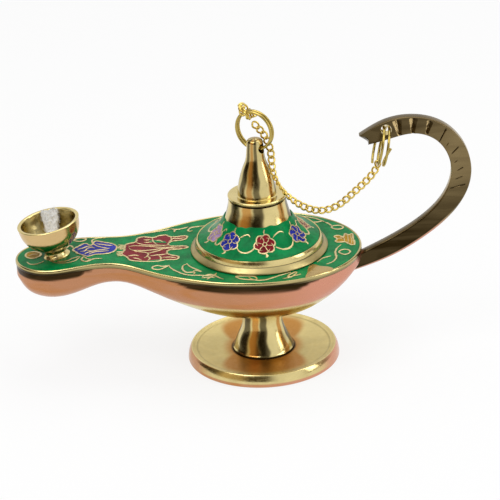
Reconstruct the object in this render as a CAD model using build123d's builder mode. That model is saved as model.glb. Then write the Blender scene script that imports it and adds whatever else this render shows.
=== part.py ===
"""Genie oil lamp: cast brass bowl with a long spout on a turned foot, an enamelled deck, a burner
cup, a hooked handle, and a lift-off lid that a fine curb chain ties to the handle.

Millimetres, +Z up. The origin is the centre of the foot's rest face, the spout points to -X and
the handle to +X. The lamp is symmetric about the XZ plane, apart from the rings and the chain.
"""
import math
import os

from build123d import *

os.makedirs("parts", exist_ok=True)

# Pedestal foot
FOOT_HEIGHT = 17.6
FOOT_RADIUS = 25.3
FOOT_BEAD = 0.9
FOOT_RIM_HEIGHT = 4.2
FOOT_RIM_INSET = 1.1
FOOT_WALL = 1.6
FOOT_REST_WIDTH = 1.9
STEM_BASE_RADIUS = 10.0
STEM_STEP = 0.9
STEM_NECK_RADIUS = 6.8
STEM_WALL = 2.0
STEM_MID_FLARE = 0.32
STEM_MID_SHARE = 0.42
FOOT_TOP_THICKNESS = 3.0

# Screw that holds the bowl on the foot
SCREW_RADIUS = 2.0
SCREW_ENGAGEMENT = 4.6
SCREW_HEAD_RADIUS = 3.5
SCREW_HEAD_HEIGHT = 2.4
SCREW_SLOT_WIDTH = 0.9
SCREW_SLOT_DEPTH = 1.0
SCREW_CLEARANCE = 0.15
THREAD_CLEARANCE = 0.02
WASHER_RADIUS = 4.2
WASHER_THICKNESS = 0.8

# Bowl and spout: reach each way from the foot's axis, belly depth and walls
SPOUT_REACH = 80.6
BOWL_REACH = 33.8
BOWL_DEPTH = 19.3
SEAT_HEIGHT = 0.8
SEAT_RADIUS = 7.2
BOWL_WALL = 1.6
BOSS_RADIUS = 4.5
BOSS_FLOOR = 0.8
# Flare that keeps the hull's sides outside the plan, so that the upper wall stands upright
HULL_FLARE = 0.6
HULL_FULLNESS = 0.62
HULL_LEAST_DEPTH = 0.5
PLAN_POINTS = 48

# Hull stations: share of the reach, half-width of the plan, keel depth as a share of BOWL_DEPTH.
# The first and last lie past the plan's ends and shape the rising keel there.
SPOUT_STATIONS = [
    (1.010, 4.0, 0.05),
    (0.986, 4.6, 0.27),
    (0.943, 9.3, 0.48),
    (0.856, 12.2, 0.58),
    (0.744, 11.9, 0.49),
    (0.645, 10.9, 0.34),
    (0.571, 11.3, 0.32),
    (0.471, 15.0, 0.445),
    (0.347, 20.7, 0.67),
    (0.174, 26.4, 0.905),
]
BELLY_HALF_WIDTH = 28.2
BOWL_STATIONS = [
    (0.355, 26.7, 0.91),
    (0.651, 21.6, 0.67),
    (0.858, 14.6, 0.373),
    (1.018, 5.0, 0.05),
]

# Deck plate with its raised border, filler hole and the low rise over the spout's neck
DECK_THICKNESS = 1.8
DECK_OVERHANG = 0.25
DECK_BORDER = 1.2
NECK_RISE = 1.4
NECK_SHARE = 0.645
NECK_REACH = 22.0
FILLER_RADIUS = 17.0
LID_LAND_RADIUS = 22.1
ENAMEL_DEPTH = 0.5
ENAMEL_SET_DOWN = 0.08

# Enamelled flowers and leaf on the deck, placed by their distance from the foot's axis
RED_FLOWER_X = 40.0
RED_PETAL_LENGTH = 8.4
RED_PETAL_WIDTH = 2.9
RED_PETAL_COUNT = 5
RED_PETAL_FAN = 38.0
BLUE_FLOWER_X = 55.0
BLUE_PETAL_LENGTH = 6.4
BLUE_PETAL_WIDTH = 2.6
BLUE_PETAL_COUNT = 4
BLUE_PETAL_FAN = 40.0
AMBER_LEAF_X = 28.2
AMBER_LEAF_LENGTH = 5.2
AMBER_LEAF_WIDTH = 2.2
AMBER_LEAF_FAN = 34.0
AMBER_LEAF_COUNT = 3
PETAL_ROOT_GAP = 0.06
PETAL_WALL = 0.45

# Burner cup on the spout's end, leaning towards the tip
CUP_SETBACK = 13.7
CUP_LEAN = 9.6
CUP_HEIGHT = 12.7
CUP_RADIUS = 10.4
CUP_WALL = 1.3
CUP_STEM_RADIUS = 3.5
CUP_FOOT_RADIUS = 4.1
CUP_STEM_HEIGHT = 2.8
CUP_FLOOR = 1.7
TENON_RADIUS = 3.0
TENON_LENGTH = 2.4
TENON_CLEARANCE = 0.02
CUP_LAND = 0.6
CUP_ROOT_DEPTH = 2.0
CUP_FOOT_HEIGHT = 0.5

# Cotton wick: a cord down the cup's stem with a combed tuft against the cup's far wall
WICK_RADIUS = 1.2
WICK_CLEARANCE = 0.3
WICK_DROP = 9.0
TUFT_WIDTH = 2.6
TUFT_THICKNESS = 0.8
TUFT_RISE = 0.9

# Handle: a flat cast hook with a hole near its tip
HANDLE_THICKNESS = 3.4
HANDLE_EDGE = 0.5
HANDLE_HOLE_RADIUS = 1.75
HANDLE_HOLE_X = 8.9
HANDLE_HOLE_Z = 40.3
NOTCH_COUNT = 3
NOTCH_SPACING = 5.4
NOTCH_WIDTH = 1.3
NOTCH_DEPTH = 0.5
NOTCH_FIRST_X = 12.6
NOTCH_Z = 42.4
NOTCH_LENGTH = 3.6

# Handle outline, measured from the bowl's end at deck height: outer edge from the root to the tip,
# then the inner edge back to the root. The root runs on into the bowl's end and is cut to it.
HANDLE_OUTER = [
    (-5.0, -10.5),
    (9.9, -5.1),
    (20.6, 1.2),
    (31.3, 11.1),
    (36.4, 24.1),
    (33.2, 35.6),
    (26.5, 41.9),
    (17.5, 44.3),
    (8.4, 43.0),
    (0.1, 38.4),
]
HANDLE_INNER = [
    (3.0, 35.2),
    (10.0, 36.9),
    (18.0, 38.4),
    (25.0, 35.8),
    (29.8, 24.8),
    (27.0, 16.0),
    (19.4, 8.0),
    (8.8, 1.3),
    (-5.0, -5.4),
]

# Lid: flange, enamelled dome, bell and skirt
LID_RADIUS = 22.7
LID_EDGE = 1.2
LID_RIDGE_RADIUS = 20.4
LID_RIDGE_HEIGHT = 4.0
LID_BAND_TOP_RADIUS = 12.9
LID_BAND_TOP_HEIGHT = 9.4
LID_BAND_SAG = 0.9
LID_TOP_RADIUS = 9.4
LID_TOP_HEIGHT = 18.3
LID_WALL = 1.5
SKIRT_DEPTH = 4.0
SKIRT_CLEARANCE = 0.4
SKIRT_WALL = 1.4
LID_ENAMEL_DEPTH = 0.5
LID_FLOWER_COUNT = 8
LID_FLOWER_FIRST = -84.0
LID_FLOWER_RADIUS = 2.0
LID_PETAL_RADIUS = 1.25
LID_PETAL_COUNT = 6

# Finial with its collar, cross-hole and threaded spigot, and the nut under the bell
COLLAR_RADIUS = 9.7
COLLAR_HEIGHT = 1.1
COLLAR_GROOVE = 0.35
FINIAL_HEIGHT = 19.5
FINIAL_BASE_RADIUS = 6.4
FINIAL_WAIST_RADIUS = 3.45
FINIAL_WAIST_HEIGHT = 11.6
FINIAL_TIP_RADIUS = 2.7
FINIAL_CAP = 1.2
CROSS_HOLE_DROP = 3.2
CROSS_HOLE_RADIUS = 1.75
CROSS_HOLE_TURN = -30.0
SPIGOT_RADIUS = 2.5
SPIGOT_LENGTH = 5.0
NUT_FLATS = 8.0
NUT_THICKNESS = 2.4

# Split rings of springy brass wire
RING_RADIUS = 6.55
RING_WIRE = 0.9
RING_SINK = 0.5
LID_RING_PITCH = 1.35
LID_RING_START = 60.0
HANDLE_RING_PITCH = 1.8
HANDLE_RING_TILT = 13.5
TAIL_TURN = 62.0
TAIL_SPREAD = 2.2
RING_TURNS = 2

# Curb chain: saddle-shaped links of fine wire, each through the next
LINK_PITCH = 2.2
LINK_HALF_LENGTH = 1.4
LINK_HALF_WIDTH = 1.0
LINK_WIRE = 0.48
LINK_TWIST = 45.0
LINK_STEPS = 6
LINK_SIDES = 6
KNOT_LINKS = 7
KNOT_RADIUS = 2.5
KNOT_STEP = 44.0
KNOT_START = -60.0
KNOT_ROLL = 30.0
KNOT_ADVANCE = 0.6
KNOT_TURN = 118.0
CHAIN_END_LINKS = 4
CHAIN_TURN_START = 0.18
CHAIN_TURN_SPAN = 0.42
HOOK_TURN = -45.0
HOOK_LINKS = 6
HOOK_GAP = 0.1

# Heights that follow from the sizes above
BOWL_KEEL = FOOT_HEIGHT + SEAT_HEIGHT
BOWL_RIM = BOWL_KEEL + BOWL_DEPTH
DECK_TOP = BOWL_RIM + DECK_THICKNESS
COLLAR_TOP = DECK_TOP + LID_TOP_HEIGHT + COLLAR_HEIGHT
FINIAL_TOP = COLLAR_TOP + FINIAL_HEIGHT
CROSS_HOLE_Z = FINIAL_TOP - CROSS_HOLE_DROP
NECK_X = -NECK_SHARE * SPOUT_REACH
CUP_X = -SPOUT_REACH + CUP_SETBACK
SPAN = 2 * (SPOUT_REACH + BOWL_REACH)


def deck_height(x):
    """Height of the deck's top at x: flat, with a low rise over the spout's neck."""
    reach = abs(x - NECK_X) / NECK_REACH
    if reach >= 1:
        return DECK_TOP
    return DECK_TOP + NECK_RISE * math.cos(math.pi / 2 * reach) ** 2


def deck_line(drop, count=9):
    """Points of the deck's side view across the neck, a distance below its top."""
    xs = [NECK_X + NECK_REACH * (1 - 2 * i / (count - 1)) for i in range(count)]
    return [(x, deck_height(x) - drop) for x in xs]


def deck_layer(upper_drop, lower_drop):
    """Sheet that follows the deck's top between two depths, wider than the lamp."""
    upper = deck_line(upper_drop)
    lower = deck_line(lower_drop)[::-1]
    with BuildPart() as layer:
        with BuildSketch(Plane.XZ):
            with BuildLine():
                start = Line((SPAN, DECK_TOP - upper_drop), upper[0])
                Spline(upper, tangents=[(-1, 0), (-1, 0)])
                Polyline(
                    upper[-1],
                    (-SPAN, DECK_TOP - upper_drop),
                    (-SPAN, DECK_TOP - lower_drop),
                    lower[0],
                )
                Spline(lower, tangents=[(1, 0), (1, 0)])
                Polyline(lower[-1], (SPAN, DECK_TOP - lower_drop), start @ 0)
            make_face()
        extrude(amount=SPAN / 2, both=True)
    return layer.part


def lamp_plan(inset):
    """Plan of the deck seen from above, drawn in by a border."""
    spout = [(-share * SPOUT_REACH, half) for share, half, _ in SPOUT_STATIONS[2:]]
    bowl = [(share * BOWL_REACH, half) for share, half, _ in BOWL_STATIONS[:-1]]
    side = [*spout, (0, BELLY_HALF_WIDTH), *bowl]
    other_side = [(x, -half) for x, half in side[::-1]]
    around = [(-SPOUT_REACH, 0), *side, (BOWL_REACH, 0), *other_side]
    with BuildSketch() as plan:
        with BuildLine():
            outline = Spline(around, periodic=True, mode=Mode.PRIVATE)
            shares = [i / PLAN_POINTS for i in range(PLAN_POINTS)]
            quarter = PLAN_POINTS // 4
            edge = []
            for share in shares:
                ahead = outline % share
                edge.append(outline @ share + Vector(ahead.Y, -ahead.X) * inset)
            Spline(edge[quarter : 3 * quarter + 1])
            Spline(edge[3 * quarter :] + edge[: quarter + 1])
        make_face()
    return plan.sketch


def hull_section(x, half_width, depth, inset):
    """Cross-section of the hull at x, upright above the rim and rounded below it."""
    half = half_width + HULL_FLARE - inset
    drop = max(depth - inset, HULL_LEAST_DEPTH)
    top = NECK_RISE + DECK_THICKNESS
    full = HULL_FULLNESS
    with BuildSketch(Plane((x, 0, BOWL_RIM), x_dir=(0, 1, 0), z_dir=(1, 0, 0))) as section:
        with BuildLine():
            Polyline((-half, 0), (-half, top), (half, top), (half, 0))
            Bezier((half, 0), (half, -full * drop), (full * half, -drop), (0, -drop))
            Bezier((0, -drop), (-full * half, -drop), (-half, -full * drop), (-half, 0))
        make_face()
    return section.sketch


def hull_sections(inset):
    """Sections of the hull from the spout's tip to the handle's end, drawn in by a wall."""
    spout = [(-share * SPOUT_REACH, half, depth * BOWL_DEPTH) for share, half, depth in SPOUT_STATIONS]
    bowl = [(share * BOWL_REACH, half, depth * BOWL_DEPTH) for share, half, depth in BOWL_STATIONS]
    stations = [*spout, (0, BELLY_HALF_WIDTH, BOWL_DEPTH), *bowl]
    return [hull_section(x, half, depth, inset) for x, half, depth in stations]


def hull(inset, plan, cap):
    """Solid of the hull under the deck: the lofted underside inside the upright plan."""
    sections = hull_sections(inset)
    with BuildPart() as shape:
        loft(sections=sections)
        with BuildSketch(Plane.XY):
            add(plan)
        extrude(amount=DECK_TOP + NECK_RISE, mode=Mode.INTERSECT)
        if cap:
            add(cap, mode=Mode.INTERSECT)
    return shape.part


def petals(x, length, width, count, fan, heading, grow):
    """Fan of pointed oval petals from a stem point at x, opening along a heading."""
    with BuildSketch() as flower:
        for i in range(count):
            turn = heading + fan * (i - (count - 1) / 2)
            reach = length / 2
            centre = (x + reach * math.cos(math.radians(turn)), reach * math.sin(math.radians(turn)))
            with Locations(Location(centre, turn)):
                Ellipse(length / 2 * (1 - PETAL_ROOT_GAP) + grow, width / 2 + grow)
    return flower.sketch


def inlay(faces, layer):
    """Enamel fill of a deck pocket: a plan shape cut from a layer of the deck."""
    with BuildPart() as fill:
        with BuildSketch(Plane.XY.offset(BOWL_RIM)):
            for face in faces:
                add(face)
        extrude(amount=DECK_THICKNESS + 2 * NECK_RISE)
        add(layer, mode=Mode.INTERSECT)
    return fill.part


# Pedestal foot: a hollow turning with a beaded rim, a dished top and a flared stem
rim_radius = FOOT_RADIUS - FOOT_RIM_INSET
lip_radius = rim_radius - FOOT_BEAD
rest_inner = FOOT_RADIUS - FOOT_BEAD / 2 - FOOT_REST_WIDTH
dish_floor = FOOT_RIM_HEIGHT - FOOT_BEAD / 2
stem_foot = FOOT_RIM_HEIGHT + STEM_STEP
stem_mid_radius = STEM_NECK_RADIUS + (STEM_BASE_RADIUS - STEM_NECK_RADIUS) * STEM_MID_FLARE
stem_mid_height = stem_foot + (FOOT_HEIGHT - stem_foot) * STEM_MID_SHARE
hollow_top = FOOT_HEIGHT - FOOT_TOP_THICKNESS
under_dish = dish_floor - FOOT_WALL
with BuildPart() as pedestal_foot:
    with BuildSketch(Plane.XZ):
        with BuildLine():
            ThreePointArc(
                (FOOT_RADIUS - FOOT_BEAD / 2, 0),
                (FOOT_RADIUS, FOOT_BEAD),
                (rim_radius + FOOT_BEAD / 2, 2 * FOOT_BEAD),
            )
            Polyline(
                (rim_radius + FOOT_BEAD / 2, 2 * FOOT_BEAD),
                (rim_radius, 2 * FOOT_BEAD + FOOT_BEAD / 3),
                (rim_radius, FOOT_RIM_HEIGHT - FOOT_BEAD / 2),
            )
            ThreePointArc(
                (rim_radius, FOOT_RIM_HEIGHT - FOOT_BEAD / 2),
                (rim_radius - FOOT_BEAD / 2, FOOT_RIM_HEIGHT),
                (lip_radius, dish_floor),
            )
            ThreePointArc(
                (lip_radius, dish_floor),
                ((lip_radius + STEM_BASE_RADIUS) / 2, dish_floor - FOOT_BEAD / 4),
                (STEM_BASE_RADIUS + STEM_STEP / 3, dish_floor + FOOT_BEAD / 4),
            )
            Polyline(
                (STEM_BASE_RADIUS + STEM_STEP / 3, dish_floor + FOOT_BEAD / 4),
                (STEM_BASE_RADIUS, dish_floor + FOOT_BEAD / 3),
                (STEM_BASE_RADIUS, stem_foot),
            )
            Spline(
                (STEM_BASE_RADIUS, stem_foot),
                (stem_mid_radius, stem_mid_height),
                (STEM_NECK_RADIUS, FOOT_HEIGHT),
                tangents=[(-0.45, 1), (0, 1)],
            )
            Polyline(
                (STEM_NECK_RADIUS, FOOT_HEIGHT),
                (SCREW_RADIUS + SCREW_CLEARANCE, FOOT_HEIGHT),
                (SCREW_RADIUS + SCREW_CLEARANCE, hollow_top),
                (STEM_NECK_RADIUS - STEM_WALL, hollow_top),
                (stem_mid_radius - STEM_WALL, stem_mid_height),
                (STEM_BASE_RADIUS - STEM_WALL, under_dish),
                (rest_inner, under_dish),
                (rest_inner, 0),
                (FOOT_RADIUS - FOOT_BEAD / 2, 0),
            )
        make_face()
    revolve(axis=Axis.Z)
pedestal_foot.part.label = "pedestal_foot"
export_step(pedestal_foot.part, "parts/pedestal_foot.step")

# Washer and slotted screw inside the hollow foot
with BuildPart() as foot_washer:
    with BuildSketch(Plane.XY.offset(hollow_top - WASHER_THICKNESS)):
        Circle(WASHER_RADIUS)
        Circle(SCREW_RADIUS + SCREW_CLEARANCE, mode=Mode.SUBTRACT)
    extrude(amount=WASHER_THICKNESS)
foot_washer.part.label = "foot_washer"
export_step(foot_washer.part, "parts/foot_washer.step")

screw_seat = hollow_top - WASHER_THICKNESS
screw_tip = FOOT_HEIGHT + SCREW_ENGAGEMENT
with BuildPart() as foot_screw:
    with BuildSketch(Plane.XY.offset(screw_seat)):
        Circle(SCREW_HEAD_RADIUS)
    extrude(amount=-SCREW_HEAD_HEIGHT)
    fillet(foot_screw.edges().sort_by(Axis.Z)[0], SCREW_HEAD_HEIGHT / 3)
    with BuildSketch(Plane.XY.offset(screw_seat - SCREW_HEAD_HEIGHT)):
        Rectangle(2 * SCREW_HEAD_RADIUS, SCREW_SLOT_WIDTH)
    extrude(amount=SCREW_SLOT_DEPTH, mode=Mode.SUBTRACT)
    with BuildSketch(Plane.XY.offset(screw_seat)):
        Circle(SCREW_RADIUS)
    extrude(amount=screw_tip - screw_seat)
    chamfer(foot_screw.edges().sort_by(Axis.Z)[-1], SCREW_RADIUS / 4)
foot_screw.part.label = "foot_screw"
export_step(foot_screw.part, "parts/foot_screw.step")

# Bowl: the cast hull, hollow for oil from the belly to the spout's end, with a tapped boss
under_deck = deck_layer(DECK_THICKNESS, DECK_TOP)
outer_plan = lamp_plan(DECK_OVERHANG)
inner_plan = lamp_plan(DECK_OVERHANG + BOWL_WALL)
hull_solid = hull(0, outer_plan, under_deck)
hull_hollow = hull(BOWL_WALL, inner_plan, None)
with BuildPart() as bowl:
    add(hull_solid)
    add(hull_hollow, mode=Mode.SUBTRACT)
    with BuildSketch(Plane.XY.offset(FOOT_HEIGHT)):
        Circle(SEAT_RADIUS)
    extrude(amount=SEAT_HEIGHT + BOWL_WALL)
    with BuildSketch(Plane.XY.offset(FOOT_HEIGHT)):
        Circle(BOSS_RADIUS)
    extrude(amount=SCREW_ENGAGEMENT + BOSS_FLOOR)
    with BuildSketch(Plane.XY.offset(FOOT_HEIGHT)):
        Circle(SCREW_RADIUS + THREAD_CLEARANCE)
    extrude(amount=SCREW_ENGAGEMENT + BOSS_FLOOR / 2, mode=Mode.SUBTRACT)
bowl.part.label = "bowl"
export_step(bowl.part, "parts/bowl.step")

# Axis of the burner cup: from the deck, leaning towards the spout's tip
lean = math.radians(CUP_LEAN)
cup_base = Vector(CUP_X, 0, deck_height(CUP_X))
cup_axis = Vector(-math.sin(lean), 0, math.cos(lean))
cup_plane = Plane(cup_base, x_dir=(math.cos(lean), 0, math.sin(lean)), z_dir=cup_axis)

# Enamel pockets of the deck: the flowers and the leaf stand in brass walls inside the green field
red_flower = (
    -RED_FLOWER_X + RED_PETAL_LENGTH / 2,
    RED_PETAL_LENGTH,
    RED_PETAL_WIDTH,
    RED_PETAL_COUNT,
    RED_PETAL_FAN,
    180,
)
blue_flower = (
    -BLUE_FLOWER_X - BLUE_PETAL_LENGTH / 2,
    BLUE_PETAL_LENGTH,
    BLUE_PETAL_WIDTH,
    BLUE_PETAL_COUNT,
    BLUE_PETAL_FAN,
    0,
)
amber_leaf = (
    AMBER_LEAF_X - AMBER_LEAF_LENGTH / 2,
    AMBER_LEAF_LENGTH,
    AMBER_LEAF_WIDTH,
    AMBER_LEAF_COUNT,
    AMBER_LEAF_FAN,
    0,
)
field_plan = lamp_plan(DECK_BORDER)
with BuildSketch() as green_field:
    add(field_plan)
    Circle(LID_LAND_RADIUS, mode=Mode.SUBTRACT)
    with Locations((CUP_X, 0)):
        Circle(CUP_FOOT_RADIUS + CUP_LAND, mode=Mode.SUBTRACT)
    for motif in (red_flower, blue_flower, amber_leaf):
        add(petals(*motif, PETAL_WALL), mode=Mode.SUBTRACT)
deck_fields = {
    "deck_enamel_green": green_field.sketch,
    "deck_enamel_red": petals(*red_flower, 0),
    "deck_enamel_blue": petals(*blue_flower, 0),
    "deck_enamel_amber": petals(*amber_leaf, 0),
}
pocket_layer = deck_layer(-ENAMEL_SET_DOWN, ENAMEL_DEPTH)
enamel_layer = deck_layer(ENAMEL_SET_DOWN, ENAMEL_DEPTH)
pocket_fill = inlay(deck_fields.values(), pocket_layer)

# Deck plate: closes the bowl, with the filler hole and the cup's hole
plate_layer = deck_layer(0, DECK_THICKNESS)
full_plan = lamp_plan(0)
with BuildPart() as deck_plate:
    with BuildSketch(Plane.XY.offset(BOWL_RIM)):
        add(full_plan)
        Circle(FILLER_RADIUS, mode=Mode.SUBTRACT)
    extrude(amount=DECK_THICKNESS + 2 * NECK_RISE)
    add(plate_layer, mode=Mode.INTERSECT)
    add(pocket_fill, mode=Mode.SUBTRACT)
    with BuildSketch(cup_plane.offset(-2 * DECK_THICKNESS)):
        Circle(TENON_RADIUS + TENON_CLEARANCE)
    extrude(amount=4 * DECK_THICKNESS, mode=Mode.SUBTRACT)
deck_plate.part.label = "deck_plate"
export_step(deck_plate.part, "parts/deck_plate.step")

for field_name, field in deck_fields.items():
    enamel = inlay([field], enamel_layer)
    enamel.label = field_name
    export_step(enamel, f"parts/{field_name}.step")

# Burner cup: turned bowl on a short waisted stem, cut to the deck and drilled for the wick
below_deck = deck_layer(0, DECK_TOP)
wick_bore = WICK_RADIUS + WICK_CLEARANCE
cup_floor = CUP_STEM_HEIGHT + CUP_FLOOR
with BuildPart() as spout_cup:
    with BuildSketch(Plane(cup_base, x_dir=cup_plane.x_dir, z_dir=(0, -1, 0))):
        with BuildLine():
            Polyline(
                (wick_bore, cup_floor),
                (wick_bore, -CUP_ROOT_DEPTH),
                (CUP_FOOT_RADIUS + CUP_LAND / 2, -CUP_ROOT_DEPTH),
                (CUP_FOOT_RADIUS, CUP_FOOT_HEIGHT),
            )
            Spline(
                (CUP_FOOT_RADIUS, CUP_FOOT_HEIGHT),
                (CUP_STEM_RADIUS, CUP_STEM_HEIGHT * 0.65),
                (CUP_RADIUS * 0.6, CUP_STEM_HEIGHT + CUP_FLOOR * 0.8),
                (CUP_RADIUS * 0.925, CUP_HEIGHT * 0.67),
                (CUP_RADIUS, CUP_HEIGHT),
                tangents=[(-0.6, 1), (0.05, 1)],
            )
            Line((CUP_RADIUS, CUP_HEIGHT), (CUP_RADIUS - CUP_WALL, CUP_HEIGHT))
            Spline(
                (CUP_RADIUS - CUP_WALL, CUP_HEIGHT),
                ((CUP_RADIUS - CUP_WALL) * 0.68, cup_floor + (CUP_HEIGHT - cup_floor) * 0.3),
                (wick_bore, cup_floor),
                tangents=[(-0.05, -1), (-1, -0.25)],
            )
        make_face()
    revolve(axis=Axis(cup_base, cup_axis))
    add(below_deck, mode=Mode.SUBTRACT)
    with BuildSketch(cup_plane.offset(-TENON_LENGTH)):
        Circle(TENON_RADIUS)
        Circle(wick_bore, mode=Mode.SUBTRACT)
    extrude(amount=TENON_LENGTH + CUP_STEM_HEIGHT / 2)
spout_cup.part.label = "spout_cup"
export_step(spout_cup.part, "parts/spout_cup.step")

# Cotton wick: round cord through the stem, opening into a flat tuft on the cup's far wall
tuft_steps = [
    (0.2, cup_floor + 0.4, WICK_RADIUS, WICK_RADIUS),
    (2.6, cup_floor + 1.9, TUFT_WIDTH * 0.8, TUFT_THICKNESS),
    (6.0, cup_floor + 5.0, TUFT_WIDTH, TUFT_THICKNESS),
    (7.5, CUP_HEIGHT + TUFT_RISE, TUFT_WIDTH * 0.8, TUFT_THICKNESS * 0.7),
]
tuft_headings = [Vector(0, 0.2, 1), Vector(0, 0.8, 0.7), Vector(0, 0.5, 0.9), Vector(0, 0.15, 1)]
tuft_sections = []
for (away, up, half_wide, half_thick), heading in zip(tuft_steps, tuft_headings):
    tuft_plane = Plane(
        cup_plane.from_local_coords(Vector(0, away, up)),
        x_dir=cup_plane.x_dir,
        z_dir=cup_plane.from_local_coords(heading) - cup_plane.origin,
    )
    with BuildSketch(tuft_plane) as tuft_section:
        Ellipse(half_wide, half_thick)
    tuft_sections.append(tuft_section.sketch)
with BuildPart() as wick:
    with BuildSketch(cup_plane.offset(-WICK_DROP)):
        Circle(WICK_RADIUS)
    extrude(amount=WICK_DROP + cup_floor + 0.5)
    loft(sections=tuft_sections)
wick.part.label = "wick"
export_step(wick.part, "parts/wick.step")

# Handle: flat hook cut to the bowl's end, pierced for its ring and notched across the top
handle_root = Vector(BOWL_REACH, 0, DECK_TOP)
handle_plane = Plane(handle_root, x_dir=(1, 0, 0), z_dir=(0, -1, 0))
with BuildPart() as handle:
    with BuildSketch(handle_plane):
        with BuildLine():
            Spline(HANDLE_OUTER)
            Line(HANDLE_OUTER[-1], HANDLE_INNER[0])
            Spline(HANDLE_INNER)
            Line(HANDLE_INNER[-1], HANDLE_OUTER[0])
        make_face()
    extrude(amount=HANDLE_THICKNESS / 2, both=True)
    chamfer(handle.faces().filter_by(Axis.Y).edges(), HANDLE_EDGE)
    with BuildSketch(handle_plane):
        with Locations((HANDLE_HOLE_X, HANDLE_HOLE_Z)):
            Circle(HANDLE_HOLE_RADIUS)
    extrude(amount=HANDLE_THICKNESS, both=True, mode=Mode.SUBTRACT)
    for side in (1, -1):
        with BuildSketch(handle_plane.offset(side * HANDLE_THICKNESS / 2)):
            with Locations((NOTCH_FIRST_X + NOTCH_SPACING, NOTCH_Z)):
                with GridLocations(NOTCH_SPACING, 1, NOTCH_COUNT, 1):
                    Rectangle(NOTCH_WIDTH, NOTCH_LENGTH)
        extrude(amount=-side * NOTCH_DEPTH, mode=Mode.SUBTRACT)
    add(hull_solid, mode=Mode.SUBTRACT)
handle.part.label = "handle"
export_step(handle.part, "parts/handle.step")

# Lid dome: flange, enamel band, bell and the skirt that drops into the filler hole
skirt_radius = FILLER_RADIUS - SKIRT_CLEARANCE
skirt_inner = skirt_radius - SKIRT_WALL
lid_edge_radius = LID_RADIUS - LID_EDGE / 5
ridge_inner = LID_RIDGE_RADIUS - 0.3
ridge_top = DECK_TOP + LID_RIDGE_HEIGHT
band_top = DECK_TOP + LID_BAND_TOP_HEIGHT
bell_top = DECK_TOP + LID_TOP_HEIGHT
band_low = Vector(ridge_inner, ridge_top)
band_high = Vector(LID_BAND_TOP_RADIUS, band_top)
band_along = (band_high - band_low).normalized()
band_out = Vector(band_along.Y, -band_along.X)
band_mid = (band_low + band_high) / 2 - band_out * LID_BAND_SAG
sink = band_out * LID_ENAMEL_DEPTH
with BuildPart() as lid_dome:
    with BuildSketch(Plane.XZ):
        with BuildLine():
            Polyline(
                (skirt_inner, DECK_TOP - SKIRT_DEPTH),
                (skirt_radius, DECK_TOP - SKIRT_DEPTH),
                (skirt_radius, DECK_TOP),
                (lid_edge_radius, DECK_TOP),
            )
            ThreePointArc(
                (lid_edge_radius, DECK_TOP),
                (LID_RADIUS, DECK_TOP + LID_EDGE / 2),
                (lid_edge_radius, DECK_TOP + LID_EDGE),
            )
            ThreePointArc(
                (lid_edge_radius, DECK_TOP + LID_EDGE),
                ((LID_RADIUS + LID_RIDGE_RADIUS) / 2 + 0.5, DECK_TOP + LID_RIDGE_HEIGHT * 0.7),
                (LID_RIDGE_RADIUS, ridge_top),
            )
            Polyline((LID_RIDGE_RADIUS, ridge_top), band_low, band_low - sink)
            ThreePointArc(band_low - sink, band_mid - sink, band_high - sink)
            Line(band_high - sink, band_high)
            Spline(
                band_high,
                (
                    LID_TOP_RADIUS + (LID_BAND_TOP_RADIUS - LID_TOP_RADIUS) * 0.42,
                    band_top + (bell_top - band_top) * 0.45,
                ),
                (LID_TOP_RADIUS, bell_top),
                tangents=[(-0.75, 1), (-0.2, 1)],
            )
            Polyline(
                (LID_TOP_RADIUS, bell_top),
                (SPIGOT_RADIUS + THREAD_CLEARANCE, bell_top),
                (SPIGOT_RADIUS + THREAD_CLEARANCE, bell_top - LID_WALL),
                (LID_TOP_RADIUS - LID_WALL, bell_top - LID_WALL),
            )
            Spline(
                (LID_TOP_RADIUS - LID_WALL, bell_top - LID_WALL),
                (LID_BAND_TOP_RADIUS - LID_WALL - LID_ENAMEL_DEPTH, band_top - LID_WALL),
                (skirt_inner, ridge_top),
                tangents=[(0.15, -1), (1, -0.75)],
            )
            Line((skirt_inner, ridge_top), (skirt_inner, DECK_TOP - SKIRT_DEPTH))
        make_face()
    revolve(axis=Axis.Z)
lid_dome.part.label = "lid_dome"
export_step(lid_dome.part, "parts/lid_dome.step")

# Enamel band of the lid, with flowers set round it in turn
with BuildPart() as lid_band:
    with BuildSketch(Plane.XZ):
        with BuildLine():
            ThreePointArc(band_low, band_mid, band_high)
            Line(band_high, band_high - sink)
            ThreePointArc(band_high - sink, band_mid - sink, band_low - sink)
            Line(band_low - sink, band_low)
        make_face()
    revolve(axis=Axis.Z)


def lid_flowers(numbers):
    """Six-petalled flower prisms that stand square to the lid's band, at the given places."""
    with BuildPart() as prisms:
        for number in numbers:
            turn = math.radians(LID_FLOWER_FIRST + 360 / LID_FLOWER_COUNT * number)
            away = Vector(math.cos(turn), math.sin(turn), 0)
            normal = away * band_out.X + Vector(0, 0, band_out.Y)
            centre = away * band_mid.X + Vector(0, 0, band_mid.Y)
            with BuildSketch(Plane(centre, x_dir=(-away.Y, away.X, 0), z_dir=normal)):
                Circle(LID_PETAL_RADIUS)
                with PolarLocations(LID_FLOWER_RADIUS, LID_PETAL_COUNT):
                    Circle(LID_PETAL_RADIUS)
            extrude(amount=2 * LID_BAND_SAG + LID_ENAMEL_DEPTH, both=True)
    return prisms.part


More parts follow.
